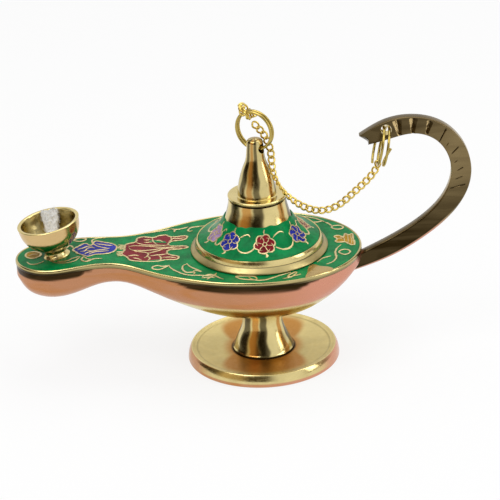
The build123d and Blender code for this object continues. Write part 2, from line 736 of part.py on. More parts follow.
flower_places = {
    "lid_enamel_red": [0, 2, 4],
    "lid_enamel_blue": [1, 3, 5, 7],
    "lid_enamel_violet": [6],
}
every_flower = lid_flowers(range(LID_FLOWER_COUNT))
with BuildPart() as lid_enamel_green:
    add(lid_band.part)
    add(every_flower, mode=Mode.SUBTRACT)
lid_enamel_green.part.label = "lid_enamel_green"
export_step(lid_enamel_green.part, "parts/lid_enamel_green.step")
for flower_name, numbers in flower_places.items():
    flower_prisms = lid_flowers(numbers)
    with BuildPart() as flower_enamel:
        add(lid_band.part)
        add(flower_prisms, mode=Mode.INTERSECT)
    flower_enamel.part.label = flower_name
    export_step(flower_enamel.part, f"parts/{flower_name}.step")

# Finial: collar, tapering body with a round tip, cross-hole for the ring, spigot through the bell
cross_turn = math.radians(CROSS_HOLE_TURN)
cross_axis = Vector(math.cos(cross_turn), math.sin(cross_turn), 0)
cross_centre = Vector(0, 0, CROSS_HOLE_Z)
cross_plane = Plane(cross_centre, x_dir=(0, 0, 1), z_dir=cross_axis)
cap_radius = (FINIAL_TIP_RADIUS**2 + FINIAL_CAP**2) / (2 * FINIAL_CAP)
cap_half = math.asin(FINIAL_TIP_RADIUS / cap_radius) / 2
with BuildPart() as lid_finial:
    with BuildSketch(Plane.XZ):
        with BuildLine():
            Polyline(
                (0, bell_top - SPIGOT_LENGTH),
                (SPIGOT_RADIUS, bell_top - SPIGOT_LENGTH),
                (SPIGOT_RADIUS, bell_top),
                (COLLAR_RADIUS - COLLAR_GROOVE, bell_top),
                (COLLAR_RADIUS - COLLAR_GROOVE, bell_top + COLLAR_GROOVE),
                (COLLAR_RADIUS, bell_top + COLLAR_GROOVE),
            )
            ThreePointArc(
                (COLLAR_RADIUS, bell_top + COLLAR_GROOVE),
                (COLLAR_RADIUS - COLLAR_GROOVE / 4, COLLAR_TOP - COLLAR_GROOVE / 3),
                (COLLAR_RADIUS - COLLAR_GROOVE, COLLAR_TOP),
            )
            Polyline(
                (COLLAR_RADIUS - COLLAR_GROOVE, COLLAR_TOP),
                (FINIAL_BASE_RADIUS + COLLAR_GROOVE, COLLAR_TOP - COLLAR_GROOVE / 2),
                (FINIAL_BASE_RADIUS, COLLAR_TOP),
            )
            Spline(
                (FINIAL_BASE_RADIUS, COLLAR_TOP),
                (
                    FINIAL_WAIST_RADIUS + (FINIAL_BASE_RADIUS - FINIAL_WAIST_RADIUS) * 0.6,
                    COLLAR_TOP + FINIAL_WAIST_HEIGHT * 0.58,
                ),
                (FINIAL_WAIST_RADIUS, COLLAR_TOP + FINIAL_WAIST_HEIGHT),
                (FINIAL_TIP_RADIUS, FINIAL_TOP - FINIAL_CAP),
                tangents=[(-0.1, 1), (-0.1, 1)],
            )
            ThreePointArc(
                (FINIAL_TIP_RADIUS, FINIAL_TOP - FINIAL_CAP),
                (cap_radius * math.sin(cap_half), FINIAL_TOP - cap_radius * (1 - math.cos(cap_half))),
                (0, FINIAL_TOP),
            )
            Line((0, FINIAL_TOP), (0, bell_top - SPIGOT_LENGTH))
        make_face()
    revolve(axis=Axis.Z)
    with BuildSketch(cross_plane):
        Circle(CROSS_HOLE_RADIUS)
    extrude(amount=2 * FINIAL_BASE_RADIUS, both=True, mode=Mode.SUBTRACT)
lid_finial.part.label = "lid_finial"
export_step(lid_finial.part, "parts/lid_finial.step")

with BuildPart() as lid_nut:
    with BuildSketch(Plane.XY.offset(bell_top - LID_WALL)):
        RegularPolygon(NUT_FLATS / 2, 6, major_radius=False)
        Circle(SPIGOT_RADIUS + THREAD_CLEARANCE, mode=Mode.SUBTRACT)
    extrude(amount=-NUT_THICKNESS)
lid_nut.part.label = "lid_nut"
export_step(lid_nut.part, "parts/lid_nut.step")


def ring_point(plane, pitch, start, turn):
    """Point on a wound ring: turn degrees on from its start angle, centred on its wire bundle."""
    angle = math.radians(start + turn)
    along = pitch * turn / 360
    local = Vector(RING_RADIUS * math.cos(angle), RING_RADIUS * math.sin(angle), along)
    return plane.from_local_coords(local)


def least_gap(path, pitch_turns):
    """Smallest clear distance between the turns of a wound wire, measured on points of its path."""
    count = 48 * pitch_turns
    points = [path @ (i / count) for i in range(count + 1)]
    apart = count // (2 * pitch_turns)
    pairs = [(p, q) for i, p in enumerate(points) for q in points[i + apart :]]
    return min((p - q).length for p, q in pairs) - RING_WIRE


# Lid ring: two turns of wire through the finial's cross-hole, standing upright
lid_ring_advance = LID_RING_PITCH * ((270 - LID_RING_START) / 360 + 0.5)
lid_ring_plane = Plane(
    cross_centre + Vector(0, 0, RING_RADIUS - RING_SINK),
    x_dir=cross_axis,
    z_dir=(cross_axis.Y, -cross_axis.X, 0),
)
lid_ring_origin = lid_ring_plane.origin - lid_ring_plane.z_dir * lid_ring_advance
lid_ring_frame = Plane(lid_ring_origin, x_dir=lid_ring_plane.x_dir, z_dir=lid_ring_plane.z_dir)
with BuildPart() as lid_ring:
    with BuildLine() as lid_ring_path:
        for half in range(2 * RING_TURNS):
            ThreePointArc(
                *[
                    ring_point(lid_ring_frame, LID_RING_PITCH, LID_RING_START, 180 * half + step)
                    for step in (0, 90, 180)
                ]
            )
    with BuildSketch(Plane(lid_ring_path.line @ 0, z_dir=lid_ring_path.line % 0)):
        Circle(RING_WIRE / 2)
    sweep()
lid_ring.part.label = "lid_ring"
export_step(lid_ring.part, "parts/lid_ring.step")
print("lid ring least gap", round(least_gap(lid_ring_path.line, RING_TURNS), 3))

# Handle ring: hangs in the handle's hole, with the outer end sprung open
tilt = math.radians(HANDLE_RING_TILT)
handle_hole = handle_root + Vector(HANDLE_HOLE_X, 0, HANDLE_HOLE_Z)
hang = Vector(-math.sin(tilt), 0, -math.cos(tilt))
handle_ring_axis = Vector(math.cos(tilt), 0, -math.sin(tilt))
handle_ring_centre = handle_hole + hang * (RING_RADIUS - RING_SINK)
handle_ring_frame = Plane(
    handle_ring_centre - handle_ring_axis * HANDLE_RING_PITCH, x_dir=hang, z_dir=handle_ring_axis
)
with BuildPart() as handle_ring:
    with BuildLine() as handle_ring_path:
        for half in range(2 * RING_TURNS):
            ThreePointArc(
                *[
                    ring_point(handle_ring_frame, HANDLE_RING_PITCH, 0, 180 * half + step)
                    for step in (0, 90, 180)
                ]
            )
        tail_angle = math.radians(TAIL_TURN)
        tail_start = handle_ring_path.line @ 1
        tail_end = handle_ring_frame.from_local_coords(
            Vector(
                RING_RADIUS * math.cos(tail_angle),
                RING_RADIUS * math.sin(tail_angle),
                RING_TURNS * HANDLE_RING_PITCH + TAIL_SPREAD,
            )
        )
        TangentArc(tail_start, tail_end, tangent=handle_ring_path.line % 1)
    with BuildSketch(Plane(handle_ring_path.line @ 0, z_dir=handle_ring_path.line % 0)):
        Circle(RING_WIRE / 2)
    sweep()
handle_ring.part.label = "handle_ring"
export_step(handle_ring.part, "parts/handle_ring.step")
print("handle ring least gap", round(least_gap(handle_ring_path.line, RING_TURNS), 3))


def link_point(turn):
    """Centre-line of a curb link: an oval whose two ends are twisted opposite ways."""
    twist = math.radians(LINK_TWIST) * math.cos(turn)
    across = LINK_HALF_WIDTH * math.sin(turn)
    return Vector(LINK_HALF_LENGTH * math.cos(turn), across * math.cos(twist), across * math.sin(twist))


def link_sections(start):
    """Wire sections round half of a link."""
    sections = []
    for step in range(LINK_STEPS + 1):
        turn = start + math.pi * step / LINK_STEPS
        point = link_point(turn)
        along = (link_point(turn + 0.01) - link_point(turn - 0.01)).normalized()
        outward = point - along * point.dot(along)
        with BuildSketch(Plane(point, x_dir=outward, z_dir=along)) as wire:
            RegularPolygon(LINK_WIRE / 2, LINK_SIDES)
        sections.append(wire.sketch)
    return sections


link_halves = [link_sections(0), link_sections(math.pi)]
with BuildPart() as link:
    for half_sections in link_halves:
        loft(sections=half_sections, ruled=True)


def ring_side(across, behind, height):
    """Point beside the finial: along the cross-hole, behind the ring's plane, at a height above it."""
    normal = Vector(-cross_axis.Y, cross_axis.X, 0)
    return cross_centre + cross_axis * across + normal * behind + Vector(0, 0, height)


# Route of the chain: from the knot down inside the lid ring, out behind its foot, over the collar's
# edge, down in a slack bend and up to the handle ring. Each point is chosen by hand.
ring_foot = handle_ring_frame.from_local_coords(Vector(RING_RADIUS, 0, HANDLE_RING_PITCH))
hook_reach = LINK_HALF_LENGTH - LINK_WIRE / 2 - RING_WIRE / 2 - HOOK_GAP
chain_route = [
    ring_side(-0.6, 0.2, 8.7),
    ring_side(0.6, 0.7, 7.0),
    ring_side(2.0, 1.5, 5.0),
    ring_side(3.6, 1.9, 2.0),
    ring_side(4.6, 1.9, -1.0),
    Vector(5.4, -2.4, CROSS_HOLE_Z - 7.1),
    Vector(8.2, -3.6, CROSS_HOLE_Z - 13.8),
    Vector(13.9, -3.9, CROSS_HOLE_Z - 19.5),
    Vector(20.5, -3.2, CROSS_HOLE_Z - 22.2),
    Vector(26.3, -2.4, CROSS_HOLE_Z - 21.0),
    Vector(31.4, -1.6, CROSS_HOLE_Z - 17.2),
    ring_foot + hang * 5.6 + Vector(-2.2, -0.6, 0),
    ring_foot + hang * 2.8 + Vector(-0.5, -0.15, 0),
    ring_foot + hang * hook_reach,
    ring_foot - hang * (LINK_PITCH / 2 - hook_reach),
]
drop_points = 5
with BuildLine():
    chain_path = Spline(chain_route)
chain_length = chain_path.length
link_count = int(chain_length / LINK_PITCH)
drop_length = chain_path.param_at_point(chain_route[drop_points - 1]) * chain_length
drop_count = round(drop_length / LINK_PITCH)


def link_plane(number):
    """Place of a link on the route: along it, with the chain's flat side turning half a turn."""
    middle = chain_length - LINK_PITCH * (link_count - number - 0.5)
    share = middle / chain_length
    turned = min(max((share - CHAIN_TURN_START) / CHAIN_TURN_SPAN, 0), 1)
    point = chain_path.position_at(middle, position_mode=PositionMode.LENGTH)
    along = chain_path.tangent_at(middle, position_mode=PositionMode.LENGTH)
    hooked = max(0, 1 - (link_count - 1 - number) / HOOK_LINKS)
    turn = 180 * turned + HOOK_TURN * hooked
    square = Vector(0, -1, 0) - along * along.dot(Vector(0, -1, 0))
    facing = square.rotate(Axis((0, 0, 0), along), turn)
    return Plane(point, x_dir=along, z_dir=facing)


def chain_part(planes):
    """Links of the chain at the given places."""
    with BuildPart() as links:
        with Locations(*[plane.location for plane in planes]):
            add(link.part)
    return links.part


# Knot: links wound round the lid ring's wires at its upper left
knot_turn = math.radians(KNOT_TURN)
knot_out = lid_ring_plane.x_dir * math.cos(knot_turn) + Vector(0, 0, math.sin(knot_turn))
knot_side = lid_ring_plane.z_dir
knot_along = knot_out.cross(knot_side)
knot_wires = [
    ring_point(lid_ring_frame, LID_RING_PITCH, LID_RING_START, KNOT_TURN - LID_RING_START + 360 * turn)
    for turn in range(RING_TURNS)
]
knot_centre = sum(knot_wires, Vector()) / RING_TURNS
knot_planes = []
for number in range(KNOT_LINKS):
    wrap = math.radians(KNOT_START + KNOT_STEP * number)
    roll = math.radians(90 + KNOT_ROLL * (-1) ** number)
    outward = knot_out * math.cos(wrap) + knot_side * math.sin(wrap)
    onward = knot_side * math.cos(wrap) - knot_out * math.sin(wrap)
    onset = KNOT_ADVANCE * (number - (KNOT_LINKS - 1) / 2)
    place = knot_centre + outward * KNOT_RADIUS + knot_along * onset
    facing = outward * math.cos(roll) + knot_along * math.sin(roll)
    knot_planes.append(Plane(place, x_dir=onward, z_dir=facing))

last_free = link_count - CHAIN_END_LINKS
chain_nodes = {
    "chain_knot": knot_planes,
    "chain_drop": [link_plane(number) for number in range(drop_count)],
    "chain_hanging": [link_plane(number) for number in range(drop_count, last_free)],
    "chain_end": [link_plane(number) for number in range(last_free, link_count)],
}
for chain_name, planes in chain_nodes.items():
    links = chain_part(planes)
    links.label = chain_name
    export_step(links, f"parts/{chain_name}.step")
print("chain length", round(chain_length, 2), "links", link_count, "in the drop", drop_count)
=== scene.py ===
"""Looks of a brass genie oil lamp with an enamelled deck, laid out as a Blender add-on.

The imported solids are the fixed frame. Shapes are worked out in millimetres in that frame, with the
spout to -X, the handle to +X and the foot's rest face at height 0, and become meshes in metres.
"""

import math

import bmesh
import bpy
import numpy as np
from bpy.props import FloatProperty, FloatVectorProperty, IntProperty, PointerProperty
from mathutils import Matrix, Vector, noise
from mathutils.geometry import delaunay_2d_cdt


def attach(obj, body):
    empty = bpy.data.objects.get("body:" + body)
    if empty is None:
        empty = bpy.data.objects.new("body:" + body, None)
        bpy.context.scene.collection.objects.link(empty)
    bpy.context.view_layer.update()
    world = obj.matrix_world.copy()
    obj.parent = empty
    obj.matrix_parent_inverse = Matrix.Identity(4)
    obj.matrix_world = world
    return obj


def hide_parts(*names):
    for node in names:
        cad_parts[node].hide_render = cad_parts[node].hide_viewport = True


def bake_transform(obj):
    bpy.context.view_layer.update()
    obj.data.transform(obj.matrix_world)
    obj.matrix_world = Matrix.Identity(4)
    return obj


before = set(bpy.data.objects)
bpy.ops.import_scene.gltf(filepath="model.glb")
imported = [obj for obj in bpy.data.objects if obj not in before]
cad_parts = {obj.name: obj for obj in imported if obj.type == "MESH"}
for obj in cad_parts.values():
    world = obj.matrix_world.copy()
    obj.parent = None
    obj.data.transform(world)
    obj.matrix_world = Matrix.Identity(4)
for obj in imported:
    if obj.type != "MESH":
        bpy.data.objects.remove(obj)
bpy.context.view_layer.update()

bl_info = {
    "name": "Genie oil lamp",
    "version": (1, 0, 0),
    "blender": (4, 5, 0),
    "location": "3D View > Sidebar > Oil Lamp",
    "description": "Builds the brass, enamel, chain and wick of an oil lamp over its solids",
    "category": "Object",
}

MM = 0.001

# Heights and reaches of the solids
BOWL_RIM = 37.7
DECK_TOP = 39.5
DECK_THICKNESS = 1.8
SPOUT_TIP = -80.6
BOWL_END = 33.8
NECK_X = -52.0
NECK_REACH = 22.0
NECK_RISE = 1.4
FILLER_RADIUS = 17.0
LAND_RADIUS = 22.1
BAND_RADIUS = 14.4

# Foot: radii and heights that bound its wall, saucer and stem, for their tones
FOOT_WALL = 24.0
FOOT_WALL_TOP = 4.1
SAUCER = (10.4, 23.9)
SAUCER_LOW = 2.6
SAUCER_GROOVE = 22.3
STEM = (6.5, 10.15)
STEM_LOW = 3.6
STEM_JOINT = 10.3

# Slope of the lid's enamel band, as radius and height above the deck, and its flowers by bearing
BAND_PROFILE = [
    (20.1, 4.0), (17.9, 4.75), (15.95, 5.95), (14.2, 7.5), (12.75, 9.3), (11.7, 10.8),
    (10.95, 12.3), (10.5, 13.6),
]
LID_FLOWERS = [
    (-131, "blue"), (-83, "red"), (-30, "blue"), (10, "red"), (52, "blue"), (96, "red"),
    (140, "blue"), (195, "violet"),
]
# How far up the band the flowers' middles lie, and from there to the ends of the stems
FLOWER_UP = 6.6
FLOWER_REACH = 3.2

# Hull: place along the lamp, half-width at the rim and depth of the keel below it
HULL = [
    (-81.4, 4.0, 1.0),
    (-79.5, 4.6, 5.2),
    (-76.0, 9.3, 9.3),
    (-69.0, 12.2, 11.2),
    (-60.0, 11.9, 9.5),
    (-52.0, 10.9, 6.6),
    (-46.0, 11.3, 6.2),
    (-38.0, 15.0, 8.6),
    (-28.0, 20.7, 12.9),
    (-14.0, 26.4, 17.5),
    (0.0, 28.2, 19.3),
    (12.0, 26.7, 17.6),
    (22.0, 21.6, 12.9),
    (29.0, 14.6, 7.2),
    (34.4, 5.0, 1.0),
]
# Points in half a section of the hull, and how full, flared and thick it is
SECTION_POINTS = 41
HULL_FULLNESS = 0.62
HULL_FLARE = 0.6
WALL = 1.6

# Handle outline from the bowl's end at deck height, root to tip along each edge
HANDLE_OUTER = [
    (-5.0, -10.5),
    (9.9, -5.1),
    (20.6, 1.2),
    (31.3, 11.1),
    (36.4, 24.1),
    (33.2, 35.6),
    (26.5, 41.9),
    (17.5, 44.3),
    (8.4, 43.0),
    (0.1, 38.4),
]
HANDLE_INNER = [
    (-5.0, -5.4),
    (8.8, 1.3),
    (19.4, 8.0),
    (27.0, 16.0),
    (29.8, 24.8),
    (25.0, 35.8),
    (18.0, 38.4),
    (10.0, 36.9),
    (3.0, 35.2),
]
# Cuts across the handle's faces: place on its outer edge, depth, half-width, and from where to where across
HANDLE_CUTS = [
    (12.4, 43.6, 0.85, 1.9, 0.06, 0.90),
    (17.8, 44.2, 0.85, 1.7, 0.04, 0.92),
    (23.3, 43.2, 0.70, 1.3, 0.12, 0.88),
    (28.6, 40.4, 0.24, 0.45, 0.05, 0.90),
    (31.0, 37.8, 0.16, 0.36, 0.22, 0.42),
    (33.4, 34.6, 0.20, 0.40, 0.25, 0.70),
    (34.8, 31.0, 0.15, 0.34, 0.25, 0.38),
    (35.8, 27.4, 0.16, 0.36, 0.35, 0.62),
    (36.3, 24.0, 0.16, 0.36, 0.30, 0.60),
    (35.8, 20.4, 0.22, 0.40, 0.06, 0.80),
]
# Painted dark reflection on the handle from root to tip, and painted highlight along its edges: places and
# shares
HANDLE_TONE = ([0, 0.3, 0.44, 0.55, 0.66, 0.8, 1], [1.0, 0.985, 0.9, 0.74, 0.72, 0.88, 0.94])
HANDLE_EDGE_HIGHLIGHT = ([0.4, 0.56, 0.7, 0.8], [0.12, 0.38, 0.2, 0.08])
# Depth of the hollow in the handle's tip
TIP_HOLLOW = 1.5

# Ornament of the deck in plan: outlines of the enamels, and the brass lines over and round them
RED_FLOWER = [
    (-45.25, -3.2), (-45, -1.5), (-44.5, 0), (-44.5, 2.25), (-44, 4.4), (-42.25, 5.7), (-41, 6.5),
    (-40.6, 8.7), (-39.5, 10.5), (-37.5, 11), (-35.2, 10.8), (-33, 12.2), (-31, 12.6),
    (-29.5, 11.1), (-26.8, 11), (-24, 11), (-24.6, 8.6), (-27.5, 7.8), (-29.4, 7), (-30, 4.4),
    (-28, 3.5), (-25.2, 3.3), (-23.6, 2.3), (-25, 1.3), (-27.8, 0.9), (-30, 0.4), (-30.2, -2.4),
    (-28, -3.9), (-26.6, -5.4), (-27.2, -6.9), (-29.5, -6.9), (-32.8, -7.7), (-35, -8.2),
    (-38.2, -8.3), (-41, -8.2), (-43, -7.2), (-43.4, -5.8), (-44.4, -4.6),
]
RED_VEINS = [
    [(-43.2, 2.7), (-41.2, 3.5), (-38.5, 3.7), (-34.8, 3.3), (-31.2, 2.7), (-26, 2.9)],
    [(-43.2, 1.8), (-42.2, 0.3), (-39.5, 0), (-36.5, 0.5), (-33.5, 1.5), (-30.5, 1.9), (-25.4, 1.9)],
    [(-42.2, 0.3), (-40, -1), (-38, -1.1), (-36.8, -2), (-37, -4.2), (-38, -5.8)],
    [(-36.8, -2), (-34.5, -0.5), (-31.8, 1.4)],
    [(-37, -4.2), (-36.2, -5.3), (-36.8, -7.6)],
    [(-41, 6.4), (-39, 5), (-36.8, 4.5), (-34, 4.6), (-30.2, 4.2)],
    [(-38.4, 8.4), (-36, 9)],
    [(-38.2, 6.4), (-35.6, 6.9)],
    [(-35.5, 10.4), (-35, 7.2), (-33.6, 4.8)],
    [(-34.4, 8.2), (-33, 8.4), (-31.8, 6.8)],
    [(-29.5, 10.8), (-29, 8.6), (-30, 7)],
    [(-29, 9.6), (-26.8, 9.4), (-24.6, 9.8)],
    [(-33.2, -3.6), (-32.4, -5.8), (-32.8, -7.6)],
    [(-36, -3.9), (-33.5, -3.1), (-30.2, -2.5)],
    [(-32, -5.2), (-29.6, -5), (-27.4, -5.9)],
    [(-43.2, -4.8), (-41.4, -3.8), (-39.6, -4.2)],
    [(-41.5, -6), (-39.8, -6.6), (-38.6, -8)],
]
RED_COMB = [
    [(-46.6, 3.9), (-45.4, 3.6), (-44, 3.8)],
    [(-46.8, 2.8), (-45.5, 2.5), (-44.2, 2.6)],
    [(-46.9, 1.7), (-45.6, 1.5), (-44.3, 1.6)],
    [(-46.6, 0.6), (-45.6, 0.6), (-44.3, 0.8)],
    [(-47, -1.6), (-46, -1.5), (-45, -1.3)],
    [(-47.2, -2.7), (-46.2, -2.6), (-45, -2.4)],
    [(-47.1, -3.8), (-46.2, -3.6), (-45, -3.4)],
    [(-46.8, -4.9), (-45.8, -4.6), (-44.6, -4.4)],
]
BLUE_FLOWER = [
    (-61.6, 2.5), (-60.5, 4), (-59.25, 5.2), (-58.2, 6.1), (-57, 5.8), (-56.2, 4.6), (-55.6, 4.4),
    (-54.9, 6), (-54.3, 7.3), (-52.25, 6.5), (-49.5, 5.2), (-47.6, 3.7), (-47.2, 0.6),
    (-48.2, -1.5), (-49.5, -2.6), (-52, -3.2), (-54.75, -3.5), (-56.5, -4.2), (-58, -2.9),
    (-59.5, -1.7), (-60.6, 0.3),
]
BLUE_VEINS = [
    [(-51, 9.2), (-53.75, 9.4), (-55.2, 8.4), (-55.2, 6.2), (-54, 3.7), (-52, 2.1), (-49.5, 1.1)],
    [(-57, 0.8), (-55.2, -0.4), (-53.5, 0), (-51.2, 0.3), (-49.4, 1.2)],
    [(-56.2, -2.8), (-55, -1.6), (-52.5, -1.1), (-49.6, -0.8)],
    [(-60, 2), (-58.7, 2.5), (-57.7, 3.2), (-56.5, 3.6), (-55, 3)],
    [(-59, 0), (-57.6, 0.3), (-57, 1.7), (-56.2, 2.3), (-54.3, 1.6)],
    [(-57.6, -2.2), (-56.2, -0.9), (-54.2, -0.7)],
    [(-54, 5.2), (-52.4, 4.4), (-50.2, 3.6), (-48.4, 3.2)],
]
AMBER_LEAVES = [
    [(-77.2, 2.6), (-75.8, 4), (-73.8, 3.8), (-72.3, 2.2), (-72.8, 0), (-74.5, -1.2), (-76.5, -0.4)],
    [
        (25, 5.4), (26.4, 6.1), (27.8, 4.7), (28.8, 7.3), (29.8, 6.1), (30.6, 6.8), (31.2, 3.6), (31.5, 0),
        (31, -1.9), (30.2, -1.6), (29.2, -0.4), (28, 0.8), (26.6, 0.6), (25.2, 1.4), (25.8, 3.4),
    ],
]
AMBER_VEINS = [
    [(-76.4, 0.8), (-75, 1.8), (-73.2, 2)],
    [(25.8, 3.4), (26.8, 3.7), (27.9, 3.4)],
    [(27.8, 4.7), (28.2, 2.6), (28, 0.8)],
    [(29.2, 6.4), (29.5, 3), (29.2, -0.2)],
    [(30.3, 6.2), (30.6, 2.4), (30.4, -1.2)],
]
BRASS_LEAVES = [
    [(-58.5, -5.8), (-57.8, -4.4), (-56.8, -6), (-55.3, -7.2), (-56.8, -8.1), (-58.2, -7.2)],
    [(-35.2, -13.4), (-33.8, -11.4), (-31.4, -11.9), (-30, -11.6), (-31.4, -13.1), (-33, -14.4)],
    [(-8, -22.4), (-5, -22.2), (-1.8, -23.3), (-1.4, -25.2), (-4.2, -24.9), (-7.2, -23.6)],
    [(-8, 22.4), (-5, 22.2), (-1.8, 23.3), (-1.4, 25.2), (-4.2, 24.9), (-7.2, 23.6)],
    [(26, -7), (28, -5.1), (29.6, -7.1), (28, -9)],
    [(24.5, 13.2), (26.4, 14.2), (28.3, 12.2), (26.4, 11)],
    [(-61.6, 10), (-60.4, 10.9), (-58.8, 10.8), (-57.4, 9.4), (-59, 8.3), (-60.6, 8.8)],
]
BRASS_LINES = [
    [(-63.8, 4.2), (-62.9, 6), (-61.4, 3.6)],
    [(-76.6, -3.8), (-75.4, -5.6), (-74, -6), (-72, -4.8), (-71, -4)],
    [(-71.6, 6), (-69.4, 8.4), (-65.4, 8.6), (-63.4, 6.4)],
    [(-70, -1.2), (-69, -3.8), (-66.8, -6), (-63.5, -7.2), (-61.5, -6.9), (-60, -5.7), (-59, -3.8)],
    [(-66.5, -5.2), (-63.5, -5.7), (-61.5, -4.5), (-59.2, -3.6)],
    [(-56.8, -8), (-54, -6.6), (-51.6, -6.8)],
    [(-29.8, -11.2), (-28.8, -14.2), (-26.5, -17.2), (-24, -19.2), (-19.2, -20.2), (-14.8, -21.2)],
    [(-23.8, -10.8), (-25.2, -12.5), (-25.2, -15.2), (-23.8, -17.4), (-21.4, -17.5), (-21.8, -19.4)],
    [(-24, -10.6), (-22.8, -13.2), (-21.2, -15), (-19.4, -17.2), (-21.2, -16.3), (-22, -16.8)],
    [(-19.2, -22.4), (-17.2, -21.8), (-14.8, -22.2)],
    [(-19, -21.2), (-16.5, -19.8), (-14, -21.8), (-12.2, -24)],
    [(-17.6, -23.4), (-16.2, -21.8), (-14.2, -19)],
    [(-4, -23), (-1.8, -25.6), (1.8, -25.5), (5.5, -23.2), (9.8, -21)],
    [(7, -25.4), (10.5, -23.6), (11.5, -20.8), (8.6, -24), (13, -22.6)],
    [(18.5, -14.2), (20.8, -11), (23.2, -9.8)],
    [(21.5, -16), (23.6, -14.2), (25, -10.8), (24.8, -8), (25.5, -3.8), (27, -1.4)],
    [(-29.2, 17.2), (-27.5, 16.8), (-25.5, 17.2), (-23.4, 18.2)],
    [(-28.2, 14.4), (-27.8, 16.4), (-26, 17)],
    [(-22, 15), (-23.2, 14.8), (-23, 17.2), (-21, 18.2), (-18.2, 18.6)],
    [(-38, 13.6), (-34, 15.6), (-29.2, 17.2)],
    [(-18.2, 18.6), (-14, 20.6), (-11, 22.8), (-8, 22.6)],
    [(-1.6, 25.2), (1.8, 25.5), (5.5, 23.4), (9.8, 21.6)],
    [(14, 23.4), (16.8, 22), (19.5, 20.4), (22.2, 17.4)],
    [(16.4, 18.8), (19.2, 17.6), (22, 18.2)],
    [(22.2, 17.4), (24, 15.2), (24.6, 13.2)],
]
BARE_PATCH = [
    (14.6, -25.6), (15.0, -22), (15.6, -17.8), (17.2, -15.4), (19, -16.8), (21.8, -17.8),
    (23.6, -19.6), (20.4, -22.6), (17.4, -25),
]

# Wire and chain
RING_RADIUS = 6.55
RING_SAG = 0.5
WIRE_HOLE = 1.75
LID_RING_START = 108
LID_RING_PITCH = 1.35
LID_RING_BACK = 1.4625
HANDLE_RING_PITCH = 1.8
SPRUNG_ARC = 62
SPRUNG_GAP = 1.9
LINK_PITCH = 2.2
KNOT_LINKS = 7
KNOT_REACH = 2.1
CROSS_Z = 75.2
CROSS_AXIS = np.array([math.cos(math.radians(30)), -math.sin(math.radians(30)), 0.0])
BEHIND = np.array([0.5, math.cos(math.radians(30)), 0.0])
HANDLE_HOLE = np.array([42.7, 0.0, 79.8])
HANG = np.array([-math.sin(math.radians(13.5)), 0.0, -math.cos(math.radians(13.5))])
HANDLE_RING_AXIS = np.array([math.cos(math.radians(13.5)), 0.0, -math.sin(math.radians(13.5))])
RING_FOOT = HANDLE_HOLE + HANG * (2 * RING_RADIUS - RING_SAG)

# Burner cup and the wick's fibres
CUP_BASE = np.array([-66.9, 0.0, 39.83])
CUP_LEAN = math.radians(9.6)
CUP_HEIGHT = 12.7
CUP_FLOOR = 4.5
FIBRE_THICKNESS = 0.03

# Streaks of painted dark reflection and of painted warm reflection round the turned pieces: bearing and
# half-width in degrees
DARK_REFLECTION_STREAKS = [(-141, 15), (-90, 12), (-8, 14), (42, 11), (88, 13), (137, 11), (178, 9)]
WARM_REFLECTION_STREAKS = [(-113, 12), (-40, 9), (15, 10), (66, 10), (112, 12), (158, 9)]

# Pink painted as the floor's reflection, and as a faint tint on the handle: its tan and orange patches as
# shares of that pink, and where along the lamp it turns pinker
PINK_PATCH_SHARES = ((0.80, 0.84, 0.66), (0.78, 0.72, 0.36))
PINKER_FROM = -10
PINKER_TO = 18

# Tones round the studio as polish sees them, from behind the lamp round by its left, front and right
STUDIO_ZONES = [
    (0.00, (0.92, 0.91, 0.88)),
    (0.16, (0.92, 0.91, 0.88)),
    (0.20, (0.10, 0.08, 0.05)),
    (0.28, (0.07, 0.05, 0.03)),
    (0.32, (0.66, 0.50, 0.28)),
    (0.39, (0.52, 0.38, 0.20)),
    (0.43, (0.08, 0.06, 0.035)),
    (0.51, (0.10, 0.08, 0.05)),
    (0.55, (1.0, 1.0, 1.0)),
    (0.66, (1.0, 1.0, 1.0)),
    (0.70, (0.36, 0.32, 0.24)),
    (0.78, (0.30, 0.27, 0.20)),
    (0.84, (0.92, 0.91, 0.88)),
]


def cubic_line(points, count, closed=False):
    """Points along the smooth cubic curve through the given points, spaced by chord length."""
    p = np.asarray(points, float)
    if closed:
        p = np.vstack([p, p[:1]])
    gap = np.linalg.norm(np.diff(p, axis=0), axis=1)
    at = np.concatenate([[0.0], np.cumsum(gap)])
    n = len(p)
    left = np.zeros((n, n))
    right = np.zeros_like(p)
    for i in range(1, n - 1):
        left[i, i - 1] = 1 / gap[i - 1]
        left[i, i] = 2 / gap[i - 1] + 2 / gap[i]
        left[i, i + 1] = 1 / gap[i]
        right[i] = 3 * (p[i] - p[i - 1]) / gap[i - 1] ** 2 + 3 * (p[i + 1] - p[i]) / gap[i] ** 2
    if closed:
        left[0, 0] = 2 / gap[-1] + 2 / gap[0]
        left[0, -2] = 1 / gap[-1]
        left[0, 1] = 1 / gap[0]
        right[0] = 3 * (p[0] - p[-2]) / gap[-1] ** 2 + 3 * (p[1] - p[0]) / gap[0] ** 2
        left[-1, -1] = 1
        left[-1, 0] = -1
    else:
        left[0, :2] = 2, 1
        right[0] = 3 * (p[1] - p[0]) / gap[0]
        left[-1, -2:] = 1, 2
        right[-1] = 3 * (p[-1] - p[-2]) / gap[-1]
    slope = np.linalg.solve(left, right)
    where = np.linspace(0, at[-1], count, endpoint=not closed)
    span = np.clip(np.searchsorted(at, where, side="right") - 1, 0, n - 2)
    h = gap[span][:, None]
    t = ((where - at[span]) / gap[span])[:, None]
    return (
        (1 + 2 * t) * (1 - t) ** 2 * p[span]
        + t * (1 - t) ** 2 * h * slope[span]
        + t * t * (3 - 2 * t) * p[span + 1]
        + t * t * (t - 1) * h * slope[span + 1]
    )


def run_along(line):
    """Distance of each point of a line from its start."""
    return np.concatenate([[0.0], np.cumsum(np.linalg.norm(np.diff(line, axis=0), axis=1))])


